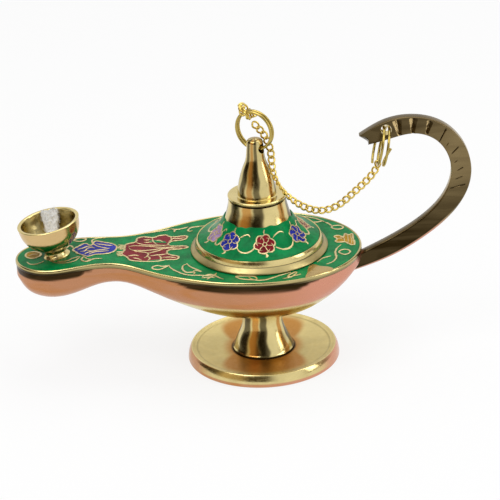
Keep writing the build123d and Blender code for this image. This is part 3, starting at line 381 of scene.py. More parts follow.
def headings(line, closed=False):
    """Unit direction of a line at each of its points."""
    ahead = np.gradient(line, axis=0)
    if closed:
        ahead = np.roll(line, -1, axis=0) - np.roll(line, 1, axis=0)
    return ahead / np.linalg.norm(ahead, axis=1)[:, None]


def profile_of(*stretches, per=7):
    """A turner's profile from stretches: two points are a straight, more are a smooth curve."""
    line = []
    for stretch in stretches:
        steps = np.array(stretch, float)
        if len(stretch) > 2:
            steps = cubic_line(stretch, per * (len(stretch) - 1) + 1)
        if line and np.allclose(line[-1], steps[0]):
            steps = steps[1:]
        line.extend(steps)
    return np.array(line)


class Skin:
    """Gathers skins of faces in millimetres, with painted reflection, painted shade, some tone and satin at
    each point.
    """

    def __init__(self):
        self.points = []
        self.faces = []
        self.patina = []

    def join(self, points, faces, patina=(0.0, 0.0, 0.0)):
        start = len(self.points)
        self.points.extend(np.asarray(points, float).tolist())
        self.patina.extend(np.broadcast_to(patina, (len(points), 3)).tolist())
        self.faces.extend(tuple(start + corner for corner in face) for face in faces)

    def loft(self, loops, caps=False, ring=False, patina=(0.0, 0.0, 0.0)):
        size = len(loops[0])
        rows = len(loops)
        faces = []
        for row in range(rows if ring else rows - 1):
            a = row * size
            b = (row + 1) % rows * size
            for i in range(size):
                j = (i + 1) % size
                faces.append((a + i, a + j, b + j, b + i))
        if caps:
            last = (rows - 1) * size
            faces.append(tuple(range(size - 1, -1, -1)))
            faces.append(tuple(range(last, last + size)))
        marks = np.broadcast_to(patina, (rows, size, 3)).reshape(-1, 3)
        self.join(np.concatenate([np.asarray(loop, float) for loop in loops]), faces, marks)


def lofted(loops, **marks):
    """A skin of one loft."""
    skin = Skin()
    skin.loft(loops, **marks)
    return skin


def finish_mesh(mesh, crease=38.0):
    """Merges doubles, turns the faces outwards and shades the mesh smooth up to a crease angle."""
    work = bmesh.new()
    work.from_mesh(mesh)
    bmesh.ops.remove_doubles(work, verts=work.verts, dist=0.002 * MM)
    bmesh.ops.dissolve_degenerate(work, edges=work.edges, dist=0.001 * MM)
    bmesh.ops.recalc_face_normals(work, faces=work.faces)
    work.to_mesh(mesh)
    work.free()
    mesh.polygons.foreach_set("use_smooth", [True] * len(mesh.polygons))
    mesh.set_sharp_from_angle(angle=math.radians(crease))
    mesh.update()


def mark_points(mesh, name, vectors):
    """Keeps a vector at each point of a mesh under a name."""
    marks = mesh.attributes.new(name, "FLOAT_VECTOR", "POINT")
    marks.data.foreach_set("vector", np.ravel(vectors))


def add_object(name, data):
    """A new object at the origin of the scene."""
    made = bpy.data.objects.new(name, data)
    bpy.context.scene.collection.objects.link(made)
    return made


def make_piece(name, skin, material, crease=38.0):
    """A new object at the origin from a skin, in metres."""
    mesh = bpy.data.meshes.new(name)
    mesh.from_pydata((np.array(skin.points) * MM).tolist(), [], skin.faces)
    if np.any(skin.patina):
        mark_points(mesh, "patina", skin.patina)
    finish_mesh(mesh, crease)
    mesh.materials.append(material)
    return add_object(name, mesh)


def settle(piece, body, slot, *nodes):
    """Puts a piece on its body in place of the solids it stands for; the slot it is given is not used."""
    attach(piece, body)
    if nodes:
        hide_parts(*nodes)
    return piece


def baked(piece, name):
    """Turns a piece's modifiers into a plain mesh."""
    bpy.context.view_layer.update()
    graph = bpy.context.evaluated_depsgraph_get()
    mesh = bpy.data.meshes.new_from_object(piece.evaluated_get(graph), depsgraph=graph)
    mesh.name = name
    old = piece.data
    piece.modifiers.clear()
    piece.data = mesh
    bpy.data.meshes.remove(old)
    return piece


def turned(profile, steps=176, place=None):
    """Loops of a turned shape about the upright axis, or about another one by a matrix."""
    angle = np.linspace(0, 2 * math.pi, steps, endpoint=False)
    ring = np.stack([np.cos(angle), np.sin(angle)], axis=1)
    loops = []
    for radius, height in profile:
        loop = np.column_stack([ring * radius, np.full(steps, height)])
        if place is not None:
            loop = loop @ place[:3, :3].T + place[:3, 3]
        loops.append(loop)
    return loops


def tube(path, radius, sides=14):
    """Loops of round wire along a path, with frames carried along it without twist."""
    p = np.asarray(path, float)
    ahead = headings(p)
    side = np.cross(ahead[0], (0.0, 0.0, 1.0))
    if np.linalg.norm(side) < 0.1:
        side = np.cross(ahead[0], (0.0, 1.0, 0.0))
    angle = np.linspace(0, 2 * math.pi, sides, endpoint=False)
    loops = []
    for i, point in enumerate(p):
        side = side - ahead[i] * np.dot(side, ahead[i])
        side = side / np.linalg.norm(side)
        up = np.cross(ahead[i], side)
        loops.append(point + radius * (np.outer(np.cos(angle), side) + np.outer(np.sin(angle), up)))
    return loops


def drill(piece, centre, axis, radius, length):
    """Cuts a round hole through a piece."""
    turn = Vector((0, 0, 1)).rotation_difference(Vector(axis)).to_matrix().to_4x4()
    place = np.array(Matrix.Translation(Vector(centre)) @ turn)
    loops = turned([(radius, -length / 2), (radius, length / 2)], 48, place)
    cutter = make_piece("drill", lofted(loops, caps=True), piece.data.materials[0])
    hole = piece.modifiers.new("hole", "BOOLEAN")
    hole.operation = "DIFFERENCE"
    hole.solver = "EXACT"
    hole.object = cutter
    baked(piece, piece.name)
    bpy.data.objects.remove(cutter)
    finish_mesh(piece.data)


def deck_height(x):
    """Height of the deck's top: flat, with a low rise over the spout's neck."""
    reach = np.clip(np.abs(np.asarray(x, float) - NECK_X) / NECK_REACH, 0, 1)
    return DECK_TOP + NECK_RISE * np.cos(math.pi / 2 * reach) ** 2


def on_deck(u, v, lift):
    """Places plan points on the deck's top, lifted a little."""
    return np.column_stack([u, v, deck_height(u) + lift])


def on_band(u, v, lift):
    """Places points on the lid's enamel band: u runs round it, v up its slope."""
    angle = np.asarray(u, float) / BAND_RADIUS
    line = cubic_line(BAND_PROFILE, 120)
    run = run_along(line)
    ahead = headings(line)
    radius = np.interp(v, run, line[:, 0]) + lift * np.interp(v, run, ahead[:, 1])
    height = DECK_TOP + np.interp(v, run, line[:, 1]) - lift * np.interp(v, run, ahead[:, 0])
    return np.column_stack([radius * np.cos(angle), radius * np.sin(angle), height])


def plan_outline(inset, count=480):
    """Edge of the deck in plan, drawn in by an inset."""
    side = [(x, half) for x, half, _ in HULL[2:-1]]
    around = [(SPOUT_TIP, 0.0), *side, (BOWL_END, 0.0), *[(x, -y) for x, y in side[::-1]]]
    line = cubic_line(around, count, closed=True)
    ahead = headings(line, closed=True)
    return line + np.column_stack([ahead[:, 1], -ahead[:, 0]]) * inset


def inside(edge, x, y):
    """Tells whether a plan point lies inside a closed outline."""
    after = np.roll(edge, -1, axis=0)
    spans = (edge[:, 1] > y) != (after[:, 1] > y)
    rise = np.where(spans, after[:, 1] - edge[:, 1], 1.0)
    crossing = edge[:, 0] + (y - edge[:, 1]) * (after[:, 0] - edge[:, 0]) / rise
    return np.count_nonzero(spans & (crossing > x)) % 2 == 1


def fill(skin, outline, surface, lift, depth=0.25, grid=0.8, patina=(0.0, 0.0, 0.0)):
    """A fill of enamel or bare brass inside a closed outline of any shape, with a softened edge."""
    reach = np.linalg.norm(np.diff(np.vstack([outline, outline[:1]]), axis=0), axis=1).sum()
    edge = cubic_line(outline, max(24, int(reach / 0.4)), closed=True)
    low = edge.min(axis=0)
    high = edge.max(axis=0)
    spots = [tuple(point) for point in edge]
    for x in np.arange(low[0] + grid / 2, high[0], grid):
        for y in np.arange(low[1] + grid / 2, high[1], grid):
            if inside(edge, x, y) and np.linalg.norm(edge - (x, y), axis=1).min() > 0.3:
                spots.append((x, y))
    rim = [(i, (i + 1) % len(edge)) for i in range(len(edge))]
    plan, _, tops, *_ = delaunay_2d_cdt([Vector(spot) for spot in spots], rim, [], 1, 1e-5)
    plan = np.array([tuple(spot) for spot in plan])
    sides = {}
    for face in tops:
        for a, b in zip(face, (*face[1:], face[0])):
            sides[(a, b)] = True
    open_sides = [(a, b) for a, b in sides if (b, a) not in sides]
    rise = np.full(len(plan), lift)
    rise[[a for a, _ in open_sides]] -= 0.04
    count = len(plan)
    top = surface(*plan.T, rise)
    bottom = surface(*plan.T, -depth)
    faces = [tuple(face) for face in tops]
    faces += [tuple(count + corner for corner in face[::-1]) for face in tops]
    faces += [(b, a, count + a, count + b) for a, b in open_sides]
    skin.join(np.vstack([top, bottom]), faces, patina)


def ridge(skin, path, surface, width, height, closed=False, ragged=0.4):
    """A raised brass line along a path, swelling and uneven as if bent and rubbed down by hand."""
    rough = np.asarray(path, float)
    reach = np.linalg.norm(np.diff(rough, axis=0), axis=1).sum()
    count = max(14, int(reach / 0.35))
    line = cubic_line(rough, count, closed=closed)
    ahead = headings(line, closed)
    side = np.column_stack([-ahead[:, 1], ahead[:, 0]])
    half = np.full(count, width / 2)
    if not closed:
        half *= 0.35 + 0.85 * np.sin(np.linspace(0, math.pi, count)) ** 0.6
    for i, (x, y) in enumerate(line):
        half[i] *= 1 + ragged * noise.noise(Vector((x * 1.9, y * 1.9, 3.1)))
        line[i] += side[i] * 0.16 * noise.noise(Vector((x * 0.8, y * 0.8, 8.7)))
    loops = []
    for across, rise in ((-1, -0.15), (-1, 0.35), (-0.7, 0.9), (0, 1), (0.7, 0.9), (1, 0.35), (1, -0.15)):
        at = line + side * (half * across)[:, None]
        loops.append(surface(*at.T, height * rise))
    stations = np.stack(loops, axis=1)
    skin.loft(list(stations), caps=not closed, ring=closed)


def length_setting(name, description, size):
    """A length that a user may change, with its default in millimetres."""
    return FloatProperty(name=name, description=description, default=size * MM, unit="LENGTH")


def colour_setting(name, description, colour):
    """A colour that a user may change."""
    return FloatVectorProperty(name=name, description=description, default=colour, subtype="COLOR")


class LampSizes(bpy.types.PropertyGroup):
    """Sizes of the lamp's finer work."""

    line_width: length_setting("Brass line", "Width of the brass lines round the enamel", 0.6)
    line_height: length_setting("Line height", "How far the brass lines stand up", 0.12)
    ring_wire: length_setting("Ring wire", "Thickness of the split rings' wire", 0.9)
    link_wire: length_setting("Link wire", "Thickness of the chain's wire", 0.66)
    link_half_length: length_setting("Link half-length", "From a link's middle to its end", 1.4)
    link_half_width: length_setting("Link half-width", "From a link's middle to its side", 1.0)
    link_twist: FloatProperty(
        name="Link twist",
        description="Turn of each end of a curb link",
        default=math.radians(45),
        subtype="ANGLE",
    )
    fibre_length: length_setting("Fibre length", "Length of the tuft's loose fibres", 1.1)
    fibre_seed: IntProperty(name="Fibre seed", description="Seed of the fibres' places", default=11)


class LampColours(bpy.types.PropertyGroup):
    """Colours of the lamp's finishes."""

    brass: colour_setting("Brass", "Turned yellow brass", (0.73, 0.60, 0.27))
    # Pink painted as the floor's reflection on the body, foot, cup and handle, and a faint tint on the
    # handle
    pink_tint_and_reflection: colour_setting("Cast brass", "Cast body with a copper tint", (0.66, 0.30, 0.20))
    wire: colour_setting("Wire brass", "Bright drawn wire", (0.74, 0.56, 0.15))
    # Dark of real tarnish where handled, and of the painted shade in grooves and the painted dark
    # reflections
    tarnish_shade_and_reflection: colour_setting("Tarnish", "Old brass in the hollows", (0.028, 0.017, 0.005))
    line: colour_setting("Line brass", "Rubbed brass lines", (0.66, 0.53, 0.28))
    green: colour_setting("Green enamel", "Field of the deck and lid", (0.0, 0.20, 0.052))
    red: colour_setting("Red enamel", "Red flowers", (0.20, 0.012, 0.018))
    blue: colour_setting("Blue enamel", "Blue flowers", (0.02, 0.03, 0.30))
    amber: colour_setting("Amber enamel", "Amber leaves", (0.44, 0.24, 0.01))
    violet: colour_setting("Violet enamel", "Pale flower of the lid", (0.34, 0.22, 0.40))
    # Warm colour of painted reflections in the saucer and up the turned pieces, and a warm tone on the
    # deck's bare patch
    warm_tone_and_reflection: colour_setting("Lacquer", "Old warm lacquer on turned brass", (0.50, 0.20, 0.02))
    cotton: colour_setting("Cotton", "Wick and tuft", (0.92, 0.91, 0.88))
    steel: colour_setting("Steel", "Screw and washer", (0.55, 0.55, 0.56))
    floor: colour_setting("Floor", "Studio floor", (0.94, 0.94, 0.94))


def sizes():
    """The size settings of the scene."""
    return bpy.context.scene.lamp_sizes


def colours():
    """The colour settings of the scene."""
    return bpy.context.scene.lamp_colours


def feed(tree, node, feeds):
    """Gives each named or numbered input of a node a value or a link."""
    for key, source in feeds.items():
        if isinstance(source, bpy.types.NodeSocket):
            tree.links.new(source, node.inputs[key])
        else:
            node.inputs[key].default_value = source


def put(tree, kind, feeds=None, **settings):
    """Adds a node with its own settings and feeds its inputs."""
    node = tree.nodes.new(kind)
    for key, value in settings.items():
        setattr(node, key, value)
    feed(tree, node, feeds or {})
    return node


def group_of(name, inputs, outputs, kind="ShaderNodeTree"):
    """A new node group with named sockets, the sockets of its inputs, and its output node."""
    tree = bpy.data.node_groups.new(name, kind)
    for label, socket, default in inputs:
        made = tree.interface.new_socket(label, in_out="INPUT", socket_type=socket)
        if default is not None:
            made.default_value = default
    for label, socket in outputs:
        tree.interface.new_socket(label, in_out="OUTPUT", socket_type=socket)
    return tree, put(tree, "NodeGroupInput").outputs, put(tree, "NodeGroupOutput")


def math_of(tree, operation, *values, **settings):
    """Result of a sum on numbers and sockets."""
    node = put(tree, "ShaderNodeMath", dict(enumerate(values)), operation=operation, **settings)
    return node.outputs["Value"]


def noise_of(tree, place, scale, **feeds):
    """Value of a noise texture at a place."""
    node = put(tree, "ShaderNodeTexNoise", {"Vector": place, "Scale": scale, **feeds})
    return node.outputs["Fac"]


def parts_of(tree, vector):
    """The X, Y and Z sockets of a vector."""
    return put(tree, "ShaderNodeSeparateXYZ", {"Vector": vector}).outputs


def vector_of(tree, **parts):
    """A vector from sockets for some of X, Y and Z."""
    return put(tree, "ShaderNodeCombineXYZ", parts).outputs["Vector"]


def ranged(tree, value, low, high, **settings):
    """Maps a range of a socket's values on to 0 to 1."""
    feeds = {"Value": value, "From Min": low, "From Max": high}
    return put(tree, "ShaderNodeMapRange", feeds, **settings).outputs["Result"]


def spread_to(tree, value, low, high):
    """Maps a 0 to 1 socket on to a range."""
    feeds = {"Value": value, "To Min": low, "To Max": high}
    return put(tree, "ShaderNodeMapRange", feeds).outputs["Result"]


def colour_mix(tree, factor, first, second):
    """Mixes two colours, each a tuple or a socket, by a factor socket."""
    mix = put(tree, "ShaderNodeMix", {"Factor": factor}, data_type="RGBA")
    sockets = [socket for socket in mix.inputs if socket.type == "RGBA"]
    for socket, colour in zip(sockets, (first, second)):
        if isinstance(colour, tuple):
            socket.default_value = (*colour, 1)
        else:
            tree.links.new(colour, socket)
    return next(socket for socket in mix.outputs if socket.type == "RGBA")


def shader_mix(tree, factor, first, second):
    """Mixes two shaders by a factor socket."""
    return put(tree, "ShaderNodeMixShader", {"Fac": factor, 1: first, 2: second}).outputs["Shader"]


def bump_on(tree, shader, height, strength, distance):
    """Lets a height socket raise a shader's surface, by a distance in millimetres."""
    feeds = {"Height": height, "Strength": strength, "Distance": distance * MM}
    feed(tree, shader, {"Normal": put(tree, "ShaderNodeBump", feeds).outputs["Normal"]})


def mask_group(name, scales, outputs):
    """A node group that makes masks from a place and named scales."""
    inputs = [("Vector", "NodeSocketVector", None)]
    inputs += [(label, "NodeSocketFloat", scale) for label, scale in scales]
    return group_of(name, inputs, [(label, "NodeSocketFloat") for label in outputs])


def polish_marks():
    """Fine scratches, handling smudges and old tarnish of polished metal."""
    if "polish marks" in bpy.data.node_groups:
        return bpy.data.node_groups["polish marks"]
    scales = [("Scratch Scale", 900.0), ("Smudge Scale", 120.0)]
    tree, given, made = mask_group("polish marks", scales, ("Scratch", "Smudge", "Height"))
    scratch = noise_of(tree, given["Vector"], given["Scratch Scale"], Detail=3, Roughness=0.7)
    smudge = noise_of(tree, given["Vector"], given["Smudge Scale"], Detail=4, Distortion=0.6)
    masks = {
        "Scratch": ranged(tree, scratch, 0.38, 0.66),
        "Smudge": ranged(tree, smudge, 0.4, 0.68),
        "Height": math_of(tree, "MULTIPLY_ADD", scratch, 0.5, smudge),
    }
    feed(tree, made, masks)
    return tree


def enamel_melt():
    """Clouded colour and the uneven skin of fired enamel."""
    if "enamel melt" in bpy.data.node_groups:
        return bpy.data.node_groups["enamel melt"]
    scales = [("Cloud Scale", 260.0), ("Grain Scale", 1500.0)]
    tree, given, made = mask_group("enamel melt", scales, ("Cloud", "Grain", "Height"))
    cloud = noise_of(tree, given["Vector"], given["Cloud Scale"], Detail=5, Roughness=0.62)
    grain = noise_of(tree, given["Vector"], given["Grain Scale"], Detail=3)
    masks = {
        "Cloud": ranged(tree, cloud, 0.34, 0.68),
        "Grain": ranged(tree, grain, 0.55, 0.72),
        "Height": cloud,
    }
    feed(tree, made, masks)
    return tree


def begin_material(name):
    """A fresh material with its shader and output, and the socket of its object coordinates."""
    material = bpy.data.materials.new(name)
    material.use_nodes = True
    tree = material.node_tree
    tree.nodes.clear()
    shader = put(tree, "ShaderNodeBsdfPrincipled")
    put(tree, "ShaderNodeOutputMaterial", {"Surface": shader.outputs["BSDF"]})
    place = put(tree, "ShaderNodeTexCoord").outputs["Object"]
    return material, tree, shader, place


def lathe_lines(tree, place, axis):
    """Fine rings left by the lathe, about an upright axis at a place along the lamp."""
    shift = put(tree, "ShaderNodeVectorMath", {0: place, 1: (axis * MM, 0, 0)}, operation="SUBTRACT")
    parts = parts_of(tree, shift.outputs["Vector"])
    flat = vector_of(tree, X=parts["X"], Y=parts["Y"])
    reach = put(tree, "ShaderNodeVectorMath", {0: flat}, operation="LENGTH").outputs["Value"]
    return noise_of(tree, vector_of(tree, X=reach, Z=parts["Z"]), 1700, Detail=3)


def metal(name, light, rough, stretch=(1, 1, 1), wear=0.3, bump=0.03, axis=None):
    """Polished metal with scratches along a direction, smudges, and the painted reflections, painted shade,
    tones and satin that the piece carries at its points.
    """
    if name in bpy.data.materials:
        return bpy.data.materials[name]
    material, tree, shader, place = begin_material(name)
    rubbed = put(tree, "ShaderNodeMapping", {"Vector": place, "Scale": stretch}).outputs["Vector"]
    marks = put(tree, "ShaderNodeGroup", {"Vector": rubbed}, node_tree=polish_marks()).outputs
    painted = put(tree, "ShaderNodeAttribute", attribute_name="patina").outputs["Vector"]
    patina = parts_of(tree, painted)
    pink_tint_and_reflection = tuple(colours().pink_tint_and_reflection)
    tarnish_shade_and_reflection = tuple(colours().tarnish_shade_and_reflection)
    # Bare metal, dulled where it is handled
    dulled = tuple(0.6 * a + 0.4 * b for a, b in zip(light, tarnish_shade_and_reflection))
    colour = colour_mix(tree, spread_to(tree, marks["Smudge"], 0.0, wear), light, dulled)
    # Painted pink reflection of the floor, and a faint pink tint, where the points' X is above 0, pinker
    # towards the handle
    tan, orange = (tuple(c * s for c, s in zip(pink_tint_and_reflection, shares)) for shares in PINK_PATCH_SHARES)
    patches = colour_mix(tree, marks["Smudge"], tan, orange)
    pinker = ranged(tree, parts_of(tree, place)["X"], PINKER_FROM * MM, PINKER_TO * MM)
    colour = colour_mix(tree, patina["X"], colour, colour_mix(tree, pinker, patches, pink_tint_and_reflection))
    # Painted warm reflection and a warm tone where X is below 0, and painted dark reflection and shade,
    # with some darker tone, by Y
    warm_share = math_of(tree, "MULTIPLY", patina["X"], -1)
    colour = colour_mix(tree, warm_share, colour, tuple(colours().warm_tone_and_reflection))
    uneven = spread_to(tree, marks["Smudge"], 0.96, 1.04)
    darkening = math_of(tree, "MULTIPLY", patina["Y"], uneven, use_clamp=True)
    colour = colour_mix(tree, darkening, colour, tarnish_shade_and_reflection)
    # Satin by Z
    dull = spread_to(tree, marks["Scratch"], rough, rough + 0.12)
    dull = math_of(tree, "MULTIPLY_ADD", patina["Z"], 0.28, dull)
    height = marks["Height"]
    if axis is not None:
        lines = lathe_lines(tree, place, axis)
        dull = math_of(tree, "MULTIPLY_ADD", lines, 0.08, dull)
        height = math_of(tree, "MULTIPLY_ADD", lines, 0.5, height)
    feed(tree, shader, {"Metallic": 1.0, "Base Color": colour, "Roughness": dull})
    bump_on(tree, shader, height, bump, 0.25)
    return material


def enamel(tint):
    """Fired enamel of one of the lamp's colours, clouded and slightly uneven, with a soft gloss."""
    name = f"{tint} enamel"
    if name in bpy.data.materials:
        return bpy.data.materials[name]
    material, tree, shader, place = begin_material(name)
    melt = put(tree, "ShaderNodeGroup", {"Vector": place}, node_tree=enamel_melt()).outputs
    colour = tuple(getattr(colours(), tint))
    dark = tuple(channel * 0.7 for channel in colour)
    light = tuple(min(channel * 1.3, 1) for channel in colour)
    feeds = {
        "Base Color": colour_mix(tree, melt["Cloud"], dark, light),
        "Roughness": spread_to(tree, melt["Grain"], 0.28, 0.46),
        "Specular IOR Level": 0.08,
    }
    feed(tree, shader, feeds)
    bump_on(tree, shader, melt["Height"], 0.3, 0.3)
    return material


def turned_brass():
    """Polished yellow brass of the pieces turned about the lamp's axis."""
    return metal("turned brass", tuple(colours().brass), 0.10, bump=0.006, axis=0.0)


def cup_brass():
    """Polished yellow brass turned about the burner cup's axis."""
    return metal("cup brass", tuple(colours().brass), 0.10, axis=CUP_BASE[0])


def cast_brass():
    """Satin cast body, rubbed along its length."""
    return metal("cast brass", tuple(colours().brass), 0.14, (0.35, 1, 2.2), 0.4, 0.05)


def wire_brass():
    """Bright drawn brass wire."""
    return metal("wire brass", tuple(colours().wire), 0.14, wear=0.5)


def line_brass():
    """Hand-rubbed brass lines between the enamels."""
    return metal("line brass", tuple(colours().line), 0.34, wear=0.5, bump=0.2)


def step(values, low, high):
    """A smooth step from 0 to 1 between two values."""
    share = np.clip((np.asarray(values, float) - low) / (high - low), 0, 1)
    return share * share * (3 - 2 * share)


class LAMP_OT_foot(bpy.types.Operator):
    """Turned foot with a flared wall, a saucer and a flared stem"""

    bl_idname = "lamp.foot"
    bl_label = "Foot"

    def execute(self, context):
        profile = profile_of(
            [(22.8, 0.0), (24.9, 0.0)],
            [(24.9, 0.0), (25.24, 0.3), (25.28, 0.7), (25.22, 1.2)],
            [(25.22, 1.2), (25.1, 1.9), (24.85, 2.8), (24.5, 3.6), (24.25, 4.0)],
            [(24.25, 4.0), (24.1, 4.14), (23.9, 4.14)],
            [(23.9, 4.14), (23.0, 3.9), (22.4, 3.82)],
            [(22.4, 3.82), (22.2, 3.68)],
            [(22.2, 3.68), (18.0, 3.35), (13.5, 3.05), (10.5, 3.1)],
            [(10.5, 3.1), (10.2, 2.95)],
            [(10.2, 2.95), (10.2, 3.5), (9.9, 3.9)],
            [(9.9, 3.9), (9.1, 6.1), (7.85, 9.0), (6.85, 11.9), (6.6, 14.5), (6.8, 17.55)],
            [(6.8, 17.55), (2.4, 17.55)],
            [(2.4, 17.55), (2.4, 14.6)],
            [(2.4, 14.6), (4.8, 14.6)],
            [(4.8, 14.6), (5.85, 10.3), (8.0, 2.2)],
            [(8.0, 2.2), (22.8, 2.1)],
        )
        radius, height = profile.T
        loops = turned(profile, 224)
        place = np.array(loops)
        patina = np.zeros(place.shape)
        # Painted pink reflection of the floor low on the wall, and all the way up it away from the front
        wall = ((radius > FOOT_WALL) & (height < FOOT_WALL_TOP))[:, None]
        low = 1 - step(height, 1.1, 1.5)[:, None]
        away = step(place[:, :, 1], -19, -11)
        patina[:, :, 0] = 0.9 * wall * np.maximum(low, away)
        # Painted warm reflection in the saucer, furthest out in front and behind, and in streaks up the
        # stem
        saucer = ((radius > SAUCER[0]) & (radius < SAUCER[1]) & (height > SAUCER_LOW))[:, None]
        stem = ((radius > STEM[0]) & (radius < STEM[1]) & (height > STEM_LOW))[:, None]
        bearing = np.arctan2(place[:, :, 1], place[:, :, 0])
        reach = 13.0 + 9.0 * step(np.abs(np.sin(bearing)), 0.42, 0.85)
        patina[:, :, 0] -= 0.85 * saucer * step(reach - radius[:, None], -1.5, 2.5)
        patina[:, :, 0] -= 0.8 * stem * streaks(loops, marks=WARM_REFLECTION_STREAKS)
        # Painted shade in the grooves and painted dark reflections in streaks up the stem
        joint = (np.abs(radius - STEM_JOINT) < 0.25) & (height < STEM_LOW)
        groove = 0.2 * (np.abs(radius - SAUCER_GROOVE) < 0.11) + 0.85 * joint
        patina[:, :, 1] = np.maximum(groove[:, None], 0.85 * stem * streaks(loops))
        patina[:, :, 2] = 0.9 * saucer
        piece = make_piece("foot", lofted(loops, ring=True, patina=patina), turned_brass())
        settle(piece, "lamp", "brass_foot", "pedestal_foot")
        return {"FINISHED"}


def hull_at(xs):
    """Half-width at the rim and keel depth of the hull at each place along it."""
    line = cubic_line(HULL, 700)
    return np.interp(xs, line[:, 0], line[:, 1]), np.interp(xs, line[:, 0], line[:, 2])


def half_plan(xs, inset):
    """Half-width of the deck's plan at each place along it."""
    line = plan_outline(inset, 1440)
    upper = line[line[:, 1] >= -1e-6]
    order = np.argsort(upper[:, 0])
    return np.clip(np.interp(xs, upper[order, 0], upper[order, 1]), 0, None)


def hull_half_section(x, half, depth, plan):
    """One side of a hull section from the rim to the keel: rounded below, upright within the plan."""
    t = np.linspace(0, 1, SECTION_POINTS - 1)[:, None]
    full = HULL_FULLNESS
    corners = np.array([(half, 0), (half, -full * depth), (full * half, -depth), (0, -depth)])
    curve = (
        (1 - t) ** 3 * corners[0]
        + 3 * t * (1 - t) ** 2 * corners[1]
        + 3 * t * t * (1 - t) * corners[2]
        + t**3 * corners[3]
    )
    soft = 0.9
    near = np.clip(0.5 + 0.5 * (plan - curve[:, 0]) / soft, 0, 1)
    across = plan * (1 - near) + curve[:, 0] * near - soft * near * (1 - near)
    across = np.clip(across, 0, max(plan, 0))
    top = float(deck_height(x)) - DECK_THICKNESS
    return np.array([(plan, top), *zip(across, BOWL_RIM + curve[:, 1])])


def streaks(loops, axis=0.0, marks=DARK_REFLECTION_STREAKS):
    """Uneven upright streaks of painted reflection round a turned piece, from 0 to 1."""
    place = np.array(loops)
    bearing = np.degrees(np.arctan2(place[:, :, 1], place[:, :, 0] - axis))
    bearing += [[7 * noise.noise(Vector((0, 1, 0.3 * height)))] for height in place[:, :, 2].mean(axis=1)]
    shade = np.zeros(bearing.shape)
    for at, half in marks:
        off = np.abs((bearing - at + 180) % 360 - 180)
        shade = np.maximum(shade, 1 - step(off, 0.55 * half, 1.1 * half))
    return shade


def wall_shade(xs):
    """How dark the painted reflection on the deck's edge is: most at the spout's end and the belly."""
    spout = step(xs, -82, -78) * step(xs, -54, -62)
    belly = step(xs, -32, -18) * step(xs, 20, 8)
    return 0.62 + 0.38 * np.maximum(spout, belly)


class LAMP_OT_bowl(bpy.types.Operator):
    """Cast bowl that draws out into the long spout, open under the deck"""

    bl_idname = "lamp.bowl"
    bl_label = "Bowl"

    def execute(self, context):
        middle = (SPOUT_TIP + BOWL_END) / 2
        reach = (BOWL_END - SPOUT_TIP) / 2 - 0.27
        xs = middle - reach * np.cos(np.linspace(0, math.pi, 200))
        half, depth = hull_at(xs)
        half = half + HULL_FLARE
        outer_plan = half_plan(xs, 0.25)
        inner_plan = np.clip(outer_plan - WALL, 0, None)
        inner_depth = np.maximum(depth - WALL, 0.2)
        loops = []
        for i, x in enumerate(xs):
            outer = hull_half_section(x, half[i], depth[i], outer_plan[i])
            inner = hull_half_section(x, half[i] - WALL, inner_depth[i], inner_plan[i])
            around = [*outer, *(outer[::-1] * (-1, 1)), *(inner * (-1, 1)), *inner[::-1]]
            loops.append([(x, y, z) for y, z in around])
        place = np.array(loops)
        patina = np.zeros(place.shape)
        outside = 2 * SECTION_POINTS
        # Painted pink reflection of the floor above the keel and all over the spout, and a painted dark
        # reflection in a band under the rim
        spout = step(place[:, :outside, 0], -24, -32)
        pink_tint_and_reflection = np.maximum(step(place[:, :outside, 2], 28.9, 29.7), spout)
        deep = step(wall_shade(xs), 0.6, 0.95)[:, None]
        low = deck_height(xs)[:, None] - DECK_THICKNESS - 1.9 * deep
        band = (deep > 0.02) * step(place[:, :outside, 2], low - 0.3, low + 0.3)
        patina[:, :outside] = np.stack([pink_tint_and_reflection, band, 0.45 * pink_tint_and_reflection], axis=2)
        skin = lofted(loops, patina=patina)
        # The ends of the spout and of the belly are closed straight across
        closing = [(i, i + 1, outside - 2 - i, outside - 1 - i) for i in range(SECTION_POINTS - 1)]
        for end in (0, -1):
            skin.join(loops[end][:outside], closing, patina[end, :outside])
        seat = profile_of(
            [(2.4, 17.65), (7.0, 17.65)],
            [(7.0, 17.65), (7.2, 17.9)],
            [(7.2, 17.9), (7.2, 19.2)],
        )
        skin.loft(turned([*seat, (2.4, 19.2)], 96), ring=True)
        settle(make_piece("bowl_shell", skin, cast_brass()), "lamp", "brass_body", "bowl")
        return {"FINISHED"}


def circle_under(line, radius):
    """Points on a circle, each below the matching point of the outline."""
    return line / np.linalg.norm(line, axis=1)[:, None] * radius


